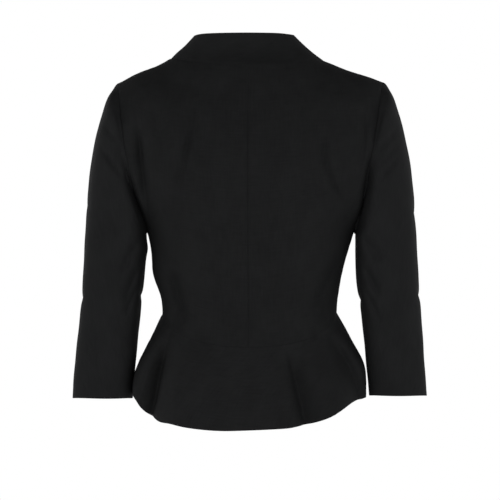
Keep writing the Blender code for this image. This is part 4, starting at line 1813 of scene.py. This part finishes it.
PEPLUM_CREASES = WAIST_GATHERS + Crease.drawn(
    View.BACK,
    ("dimple under the right waist", ((-68, -428), (-80, -448)), -1.6, 4.0, 5.0),
    (
        "valley of the left fold", ((111, -388), (123, -428), (129, -458), (134, -482), (147, -540)),
        -29.0, 12.0, 7.5, 0.45, 0.01,
    ),
    (
        "valley of the right fold", ((-51, -408), (-63, -452), (-72, -488), (-84, -540)),
        -15.0, 4.5, 17.0, 0.4, 0.01,
    ),
    (
        "hollow of the right side", ((-108, -396), (-132, -430), (-148, -458), (-163, -510)),
        -24.0, 14.0, 11.0, 0.4, 0.01,
    ),
    ("ridge of the left side", ((132, -410), (144, -446), (160, -500)), 3.0, 8.0, 6.0, 0.4, 0.01),
) + Crease.drawn(
    View.FRONT,
    ("valley of the left front", ((100, -374), (112, -424), (124, -490)), -9.0, 8.0, 11.0, 0.45, 0.01),
    ("ridge of the left front", ((66, -384), (76, -432), (86, -488)), 5.0, 11.0, 12.0, 0.5, 0.01),
    (
        "valley of the right front", ((-98, -372), (-112, -420), (-122, -488)),
        -10.0, 11.0, 8.0, 0.45, 0.01,
    ),
    ("ridge of the right front", ((-60, -380), (-68, -430), (-76, -486)), 5.0, 12.0, 10.0, 0.5, 0.01),
)


@dataclass(frozen=True)
class Peplum:
    """The back peplum, and the two front ones that meet it at the side seams.

    Attributes:
        bodice: The form whose waist seam it hangs from.
        back_hem: Its hem at the back.
        front_hem: Its hem at the front.
        flutes: Its flutes and folds.
        hem_lifts: Places round the waist and the rise of the hem there.
        nudges: Where its outline is uneven.
        creases: Its creases.
        width: Usual width of a quarter, in millimetres.
        depth: Usual depth.
        pitch: Distance between points.
        straight: Share of the depth that hangs straight from the seam.
        bell_reach: How soon it has belled out fully.
        lift_power: How the hem's lift grows with depth.
        back_cut: Flat cut of the back.
        front_cut: Flat cut of a front.
        calm: How far from seams creases die away.
    """

    bodice: BodiceForm = FORM
    back_hem: PanelRow = PanelRow("hem", 171.0, -8.0, -499.0, 116.0, -538.0, 90.0, 0.70, 0.15)
    front_hem: PanelRow = PanelRow("hem", 171.0, -8.0, -499.0, -146.0, -482.0, 90.0, 0.60, 0.45)
    flutes: tuple[Flute, ...] = FLUTES
    hem_lifts: tuple[tuple[float, float], ...] = HEM_LIFTS
    nudges: tuple[Nudge, ...] = PEPLUM_NUDGES
    creases: tuple[Crease, ...] = PEPLUM_CREASES
    width: float = 220.0
    depth: float = 136.0
    pitch: float = 2.0
    straight: float = 0.024
    bell_reach: float = 1.04
    lift_power: float = 2.0
    back_cut: Cut = Cut(0.600, 0.210, 0.0577)
    front_cut: Cut = Cut(0.330, 0.200, 0.0336)
    calm: float = 8.0

    def fluted(self, around: Array, depth: Array) -> tuple[Array, Array]:
        """Adds up the flutes, which grow towards the hem, and reads the hem's lift.

        Args:
            around: Places round the waist.
            depth: Shares of the peplum's depth.

        Returns:
            How far the cloth swells out, and how far it is lifted.
        """
        profiles = [flute.swell * flute.profile(around, depth) for flute in self.flutes]
        knots, lifts = np.array(self.hem_lifts).T
        lift = through(knots, lifts, around.ravel()).reshape(around.shape)
        return sum(profiles) * depth, lift * depth**self.lift_power

    def quarter(self, face: Face, side: Side) -> Array:
        """Makes a quarter of the peplum, from the waist seam down, its columns from the centre out.

        It leaves the seam straight down, then bells out sideways to the hem as a quarter of a sine
        wave and evenly in depth. The flutes swell straight back at the back, and along the outward
        direction of the hem's curve at the front.

        Args:
            face: Back or front.
            side: Left or right.

        Returns:
            The grid.
        """
        shares = spaced(self.width, self.pitch) / self.width
        waist = self.bodice.seam(face, False, shares)
        hem_row = self.back_hem if face is Face.BACK else self.front_hem
        hem = row_points(columns_of((hem_row,)), shares)
        around = shares
        out = np.array([[0.0, 1.0]])
        if face is Face.FRONT:
            waist = LAP.added(waist)
            hem = LAP.added(hem)
            around = np.concatenate([np.full(LAP.columns, CENTRE_FRONT), CENTRE_FRONT - shares])
            along = np.gradient(hem[0, :, :2], axis=0)
            out = unit(np.stack([along[:, 1], -along[:, 0]], axis=1))
        depth = (spaced(self.depth, self.pitch) / self.depth)[:, None]
        bell = np.sin(0.5 * np.pi * np.clip((depth - self.straight) * self.bell_reach, 0.0, 1.0))
        spread = np.stack([bell, depth], axis=-1)
        swell, lift = self.fluted(around[None, :] * side.value, depth)
        flat = waist[..., :2] + (hem - waist)[..., :2] * spread + out * swell[..., None]
        height = waist[..., 2] + (hem - waist)[..., 2] * depth + lift
        grid = side.of(np.concatenate([flat, height[..., None]], axis=-1))
        if face is Face.FRONT:
            grid = LAP.lifted(grid, side)
        return nudged(grid, self.nudges)

    def build(self, material: bpy.types.Material) -> None:
        """Builds the three pieces.

        Args:
            material: The cloth's surface.
        """
        left = self.quarter(Face.BACK, Side.LEFT)
        right = self.quarter(Face.BACK, Side.RIGHT)
        grid = np.concatenate([left[:, ::-1], right[:, 1:]], axis=1)
        edges = (Edge.SEWN, Edge.TURNED, Edge.SEWN, Edge.SEWN)
        sewn_to = ("back_left", "back_right")
        back = ClothPiece("peplum_back", grid, True, edges, self.creases, self.calm, self.back_cut, sewn_to)
        back.build(material)
        edges = (Edge.SEWN, Edge.TURNED, Edge.TURNED, Edge.SEWN)
        for side in Side:
            grid = self.quarter(Face.FRONT, side)
            flip = side is Side.LEFT
            sewn_to = (f"front_{side.word}", "peplum_back")
            node = f"peplum_front_{side.word}"
            front = ClothPiece(node, grid, flip, edges, self.creases, self.calm, self.front_cut, sewn_to)
            front.build(material)


# The buttons.


# A direction along which no thread runs, and the points round a thread.
OFF_THREAD = np.array([0.31, 0.17, 0.93])
THREAD_SIDES = 8


def thread_along(centres: Array, radius: float) -> tuple[Array, Array]:
    """Sweeps a round thread along a line.

    Args:
        centres: Points of the line.
        radius: Half of its thickness.

    Returns:
        Its points and quads, open at both ends.
    """
    way = unit(np.gradient(centres, axis=0))
    first = unit(np.cross(way, OFF_THREAD))
    second = np.cross(way, first)
    angle = np.linspace(0.0, 2.0 * np.pi, THREAD_SIDES, endpoint=False)[None, :, None]
    ring = first[:, None] * np.cos(angle) + second[:, None] * np.sin(angle)
    points = centres[:, None] + radius * ring
    return points.reshape(-1, 3), grid_quads(len(centres), THREAD_SIDES, True)


def vertex_values(name: str, kind: str) -> Array:
    """Reads an object's mesh.

    Args:
        name: The object's name.
        kind: "co" for places or "normal" for directions.

    Returns:
        Three numbers for each point.
    """
    vertices = bpy.data.objects[name].data.vertices
    values = np.empty(3 * len(vertices), dtype=np.float32)
    vertices.foreach_get(kind, values)
    return values.reshape(-1, 3).astype(float)


@dataclass(frozen=True)
class Buttons:
    """Plain four-hole buttons down the centre front, and their buttonholes, in millimetres.

    Attributes:
        count: How many there are.
        radius: Half of a button's width.
        thickness: Height of the rim.
        rim: Roundness of the rim.
        slope: How far in the slope inside the rim ends, in rims.
        dish: How deep the middle is sunk.
        hole_off: Distance of each hole from the middle, across and up.
        hole_lip: Half of a hole's width at its lip.
        hole_edge: Width of its edge.
        hole_depth: How deep a hole shows.
        rings: Points from the middle to the slope.
        slope_points: Points up the slope.
        rim_points: Points round the rim.
        back_points: Points across the back.
        sides: Points round a button.
        thread: Half of the thread's thickness.
        strands: Strands between each pair of holes.
        strand_gap: Distance between strands, in half thicknesses.
        strand_foot: How far below the face a strand ends.
        strand_arch: How high it arches from there.
        arch_power: How square the arch is; less is squarer.
        strand_points: Points along a strand.
        buttonhole: Half of a buttonhole's length.
        buttonhole_width: Half of its width.
        buttonhole_shift: How far its middle lies from the button's.
        long_square: How straight its long sides are.
        end_square: How straight its ends are.
        stitch: Half of the thickness of its stitching.
        stitch_points: Points along the stitching.
        bead: Height of each stitch.
        beads: How many stitches there are.
        cloth: The piece that the buttonholes are worked in.
        cloth_pitch: Reach of the cloth's points that a place on it is read from.
        cloth_near: How far round the button the cloth is read.
    """

    count: int = 5
    radius: float = 9.0
    thickness: float = 3.0
    rim: float = 1.4
    slope: float = 2.4
    dish: float = 0.7
    hole_off: float = 1.7
    hole_lip: float = 1.15
    hole_edge: float = 0.4
    hole_depth: float = 1.4
    rings: int = 40
    slope_points: int = 8
    rim_points: int = 16
    back_points: int = 6
    sides: int = 72
    thread: float = 0.28
    strands: int = 3
    strand_gap: float = 1.7
    strand_foot: float = 0.9
    strand_arch: float = 1.35
    arch_power: float = 0.6
    strand_points: int = 13
    buttonhole: float = 10.5
    buttonhole_width: float = 1.1
    buttonhole_shift: float = -7.5
    long_square: float = 1.6
    end_square: float = 2.2
    stitch: float = 0.5
    stitch_points: int = 161
    bead: float = 0.08
    beads: int = 60
    cloth: str = "front_right_cloth"
    cloth_pitch: float = 2.2
    cloth_near: float = 42.0

    def frame_of(self, node: str) -> tuple[Array, Array]:
        """Finds where a button sits, from its CAD node.

        Args:
            node: The node.

        Returns:
            The middle of its back, and its directions across, up and out as rows.
        """
        points = vertex_values(node, "co") / MM
        low, high = np.array(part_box(node)) / MM
        middle = 0.5 * (low + high)
        out = np.linalg.svd(points - points.mean(axis=0), full_matrices=False)[2][-1]
        out = out * np.sign(-out[1])
        across_it = np.array([-1.0, 0.0, 0.0])
        up = np.cross(out, across_it)
        base = middle + out * ((points - middle) @ out).min()
        return base, np.stack([across_it, up, out])

    def profile(self) -> tuple[Array, Array]:
        """Half outline of a button, from the middle of its face, over its rim, to the middle of its back.

        Returns:
            Distances from the middle, and heights.
        """
        face = self.thickness - self.dish
        flat = self.radius - self.slope * self.rim
        inward = np.linspace(0.0, flat, self.rings)
        slope = np.linspace(0.0, 1.0, self.slope_points)[1:]
        slope_radius = flat + (self.radius - self.rim - flat) * slope
        slope_height = face + self.dish * smooth_step(slope)
        angle = np.linspace(0.0, np.pi, self.rim_points)[1:]
        half = 0.5 * self.thickness
        rim_radius = self.radius - self.rim * (1.0 - np.sin(angle))
        rim_height = half + half * np.cos(angle)
        back = np.linspace(self.radius - self.rim, 0.0, self.back_points)[1:]
        radius = np.concatenate([inward, slope_radius, rim_radius, back])
        height = np.concatenate([np.full(self.rings, face), slope_height, rim_height, 0.0 * back])
        return radius, height

    def disc(self) -> tuple[Array, Array]:
        """A button lying on its back, with four holes sunk into its face.

        Returns:
            Points and quads.
        """
        radius, height = self.profile()
        angle = np.linspace(0.0, 2.0 * np.pi, self.sides, endpoint=False)
        x = radius[:, None] * np.cos(angle)
        y = radius[:, None] * np.sin(angle)
        off = np.hypot(np.abs(x) - self.hole_off, np.abs(y) - self.hole_off)
        sink = self.hole_depth * smooth_step((self.hole_lip - off) / self.hole_edge)
        on_face = (np.arange(len(radius)) < self.rings)[:, None]
        z = height[:, None] - sink * on_face
        points = np.stack([x, y, z], axis=-1).reshape(-1, 3)
        return points, grid_quads(len(radius), self.sides, True)

    def sewing(self) -> tuple[Array, Array]:
        """Strands of thread that cross from hole to hole in two bars.

        Returns:
            Points and quads.
        """
        face = self.thickness - self.dish
        share = np.linspace(0.0, 1.0, self.strand_points)
        arch = self.strand_arch * np.sin(np.pi * share) ** self.arch_power
        points = []
        faces = []
        for bar in (-1.0, 1.0):
            for strand in range(self.strands):
                shift = (strand - 0.5 * (self.strands - 1)) * self.strand_gap * self.thread
                x = (2.0 * share - 1.0) * self.hole_off
                y = np.full_like(share, bar * self.hole_off + shift)
                z = face - self.strand_foot + arch
                some, quads = thread_along(np.stack([x, y, z], axis=1), self.thread)
                faces.append(quads + len(points) * len(some))
                points.append(some)
        return np.concatenate(points), np.concatenate(faces)

    def hole(self, base: Array, axes: Array) -> tuple[Array, Array]:
        """A stitched buttonhole, a bead of stitching in a long oval laid on the right front.

        The cloth's depth at a place is the mean of its points round it, weighted by a bell curve.

        Args:
            base: The middle of the button's back.
            axes: Its directions across, up and out.

        Returns:
            Points and quads.
        """
        turn = np.linspace(0.0, 2.0 * np.pi, self.stitch_points)
        straight = self.buttonhole - self.buttonhole_width
        x = np.clip(self.long_square * np.cos(turn), -1.0, 1.0) * straight
        x = x + self.buttonhole_width * np.cos(turn)
        y = self.buttonhole_width * np.clip(self.end_square * np.sin(turn), -1.0, 1.0)
        line = base + np.stack([x - self.buttonhole_shift, y, 0.0 * x], axis=1) @ axes
        outer = vertex_values(self.cloth, "co")[vertex_values(self.cloth, "normal")[:, 1] < 0.0] / MM
        near = outer[np.linalg.norm(outer - base, axis=1) < self.cloth_near]
        away = line[:, None, [0, 2]] - near[None, :, [0, 2]]
        weight = np.exp(-(away * away).sum(-1) / self.cloth_pitch**2)
        bead = self.bead * np.sin(self.beads * turn)
        line[:, 1] = weight @ near[:, 1] / weight.sum(axis=1) + bead
        return thread_along(line, self.stitch)

    def build(self, resin: bpy.types.Material, thread: bpy.types.Material) -> None:
        """Builds the buttons, their thread and their buttonholes.

        Args:
            resin: The buttons' surface.
            thread: The thread's surface.
        """
        disc, disc_faces = self.disc()
        sewing, sewing_faces = self.sewing()
        for number in range(1, self.count + 1):
            node = f"button_{number}"
            base, axes = self.frame_of(node)
            button = make_object(node + "_turned", base + disc @ axes, disc_faces, resin)
            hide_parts(node)
            strands = make_object(node + "_thread", base + sewing @ axes, sewing_faces, thread)
            stitched = make_object(node + "_hole", *self.hole(base, axes), thread)


# The studio.


@dataclass(frozen=True)
class Softbox:
    """A large soft light that faces the jacket.

    Attributes:
        name: Its name.
        azimuth: Its bearing in degrees, 0 before the jacket's front and 180 behind its back.
        height: Its height above the jacket's middle, in metres.
        distance: How far off it is.
        width: Its width.
        tall: Its height from edge to edge.
        power: Its power in watts.
    """

    name: str
    azimuth: float
    height: float
    distance: float
    width: float
    tall: float
    power: float

    def place(self, target: Vector) -> None:
        """Sets it up.

        Args:
            target: The point it faces.
        """
        lamp = bpy.data.lights.new(self.name, "AREA")
        lamp.shape = "RECTANGLE"
        lamp.size = self.width
        lamp.size_y = self.tall
        lamp.energy = self.power
        light = bpy.data.objects.new(self.name, lamp)
        bearing = np.radians(self.azimuth)
        away = Vector((np.sin(bearing), -np.cos(bearing), 0.0)) * self.distance
        light.location = target + away + Vector((0.0, 0.0, self.height))
        light.rotation_euler = (target - light.location).to_track_quat("-Z", "Y").to_euler()
        light.visible_camera = False
        bpy.context.scene.collection.objects.link(light)


SOFTBOXES = (
    Softbox("behind on the left", 160.0, -0.3, 2.6, 1.2, 1.5, 11.2),
    Softbox("behind on the right", -160.0, -0.3, 2.6, 1.2, 1.5, 11.8),
    Softbox("beside on the left", 84.0, 0.0, 2.6, 1.0, 1.5, 8.0),
    Softbox("beside on the right", -84.0, 0.0, 2.6, 1.0, 1.5, 7.6),
    Softbox("before on the left", 44.0, 0.5, 2.6, 1.0, 1.3, 9.5),
    Softbox("before on the right", -40.0, 0.5, 2.6, 1.0, 1.3, 6.0),
)


@dataclass(frozen=True)
class Studio:
    """White surroundings, soft lights and the photo's camera, in metres and degrees.

    Attributes:
        target: The point the camera looks at.
        distance: How far off the camera is.
        bearing: How far it stands to the wearer's right of straight behind.
        lens: Focal length in millimetres.
        sensor: Width of the camera's sensor in millimetres.
        lights: The soft lights.
        fill: Strength of the light from all round.
        overhead: Share of it that is missing straight above.
        sideways: Share by which it is stronger straight from the sides.
        floor_height: Height of the floor, far below the picture.
        floor_reach: How far the floor reaches from the middle.
        floor_middle: How far out it is whole, before it fades into the white.
        floor_seen: How far out the camera sees it.
        floor_tone: How pale the floor is.
        floor_roughness: How matte it is.
        floor_glow: How much brighter it is to the camera.
    """

    target: tuple[float, float, float] = (0.0003, 0.0, -0.281)
    distance: float = 3.0
    bearing: float = 2.0
    lens: float = 145.9
    sensor: float = 36.0
    lights: tuple[Softbox, ...] = SOFTBOXES
    fill: float = 0.56
    overhead: float = 1.0
    sideways: float = 0.9
    floor_height: float = -1.35
    floor_reach: float = 4.5
    floor_middle: float = 0.8
    floor_seen: float = 2.3
    floor_tone: float = 0.85
    floor_roughness: float = 0.8
    floor_glow: float = 0.55

    def set_up(self) -> None:
        """Places the camera, the lights, the surroundings and the floor."""
        bpy.context.scene.view_settings.view_transform = "Standard"
        target = Vector(self.target)
        self.place_camera(target)
        for light in self.lights:
            light.place(target)
        self.surround()
        self.lay_floor()

    def place_camera(self, target: Vector) -> None:
        """Places the photo's camera.

        Args:
            target: The point it looks at.
        """
        scene = bpy.context.scene
        camera = bpy.data.cameras.new("photo")
        camera.sensor_width = self.sensor
        camera.lens = self.lens
        eye = bpy.data.objects.new("photo", camera)
        bearing = np.radians(self.bearing)
        eye.location = target + Vector((-np.sin(bearing), np.cos(bearing), 0.0)) * self.distance
        eye.rotation_euler = (target - eye.location).to_track_quat("-Z", "Y").to_euler()
        scene.collection.objects.link(eye)
        scene.camera = eye

    def surround(self) -> None:
        """Lights the jacket from all round, with surroundings white to the camera only."""
        world = bpy.data.worlds.new("studio")
        world.use_nodes = True
        graph = Graph(world.node_tree)
        seen = Value(graph, graph.node("ShaderNodeLightPath").outputs["Is Camera Ray"])
        direction = graph.node("ShaderNodeTexCoord").outputs["Object"]
        axes = graph.node("ShaderNodeSeparateXYZ", {0: direction}).outputs
        across = Value(graph, axes[0])
        above = graph.maths("MAXIMUM", Value(graph, axes[2]), 0.0)
        lit = self.fill * (1.0 + across * across * self.sideways - above * self.overhead)
        strength = lit + seen * (1.0 - lit)
        white = graph.node("ShaderNodeBackground", {0: (1.0, 1.0, 1.0, 1.0), 1: strength})
        graph.node("ShaderNodeOutputWorld", {0: white.outputs[0]})
        bpy.context.scene.world = world

    def paper(self) -> bpy.types.Material:
        """Makes the floor's surface, which fades out with the distance from the middle.

        Returns:
            The material.
        """
        made, graph = new_material("pale floor")
        made.cycles.emission_sampling = "NONE"
        seen = Value(graph, graph.node("ShaderNodeLightPath").outputs["Is Camera Ray"])
        place = graph.node("ShaderNodeTexCoord").outputs["Object"]
        flat = graph.node("ShaderNodeVectorMath", {0: place, 1: (1.0, 1.0, 0.0)}, operation="MULTIPLY")
        off = graph.node("ShaderNodeVectorMath", {0: flat.outputs[0]}, operation="LENGTH").outputs["Value"]
        last = self.floor_reach + seen * (self.floor_seen - self.floor_reach)
        limits = {"Value": off, "From Min": self.floor_middle, "From Max": last}
        faded = graph.node("ShaderNodeMapRange", limits, interpolation_type="SMOOTHSTEP").outputs[0]
        inputs = {
            "Base Color": (self.floor_tone, self.floor_tone, self.floor_tone, 1.0),
            "Roughness": self.floor_roughness,
            "Emission Color": graph.blend(seen, (0.0, 0.0, 0.0), (self.floor_glow,) * 3),
            "Emission Strength": 1.0,
        }
        pale = graph.node("ShaderNodeBsdfPrincipled", inputs)
        clear = graph.node("ShaderNodeBsdfTransparent")
        mixed = graph.node("ShaderNodeMixShader", {0: faded, 1: pale.outputs[0], 2: clear.outputs[0]})
        graph.node("ShaderNodeOutputMaterial", {0: mixed.outputs[0]})
        return made

    def lay_floor(self) -> None:
        """Lays a square of pale floor below the jacket, which is out of the photo's picture."""
        mesh = bpy.data.meshes.new("floor")
        signs = ((-1, -1), (1, -1), (1, 1), (-1, 1))
        corners = [(x * self.floor_reach, y * self.floor_reach, self.floor_height) for x, y in signs]
        mesh.from_pydata(corners, [], [(0, 1, 2, 3)])
        mesh.materials.append(self.paper())
        floor = bpy.data.objects.new("floor", mesh)
        bpy.context.scene.collection.objects.link(floor)


def main() -> None:
    """Builds the jacket and the studio."""
    logging.basicConfig(level=logging.INFO, format="%(name)s: %(message)s")
    suiting = SUITING.material()
    Bodice().build(suiting)
    Collar().build(suiting)
    # The peplum and the sleeves take lighter copies of the suiting, which are painted sheen.
    Peplum().build(PEPLUM_SUITING_PAINTED_SHEEN.material())
    Sleeves().build(SLEEVE_SUITING_PAINTED_SHEEN.material())
    Buttons().build(RESIN.material(), THREAD.material())
    Studio().set_up()


if __name__ == "__main__":
    main()
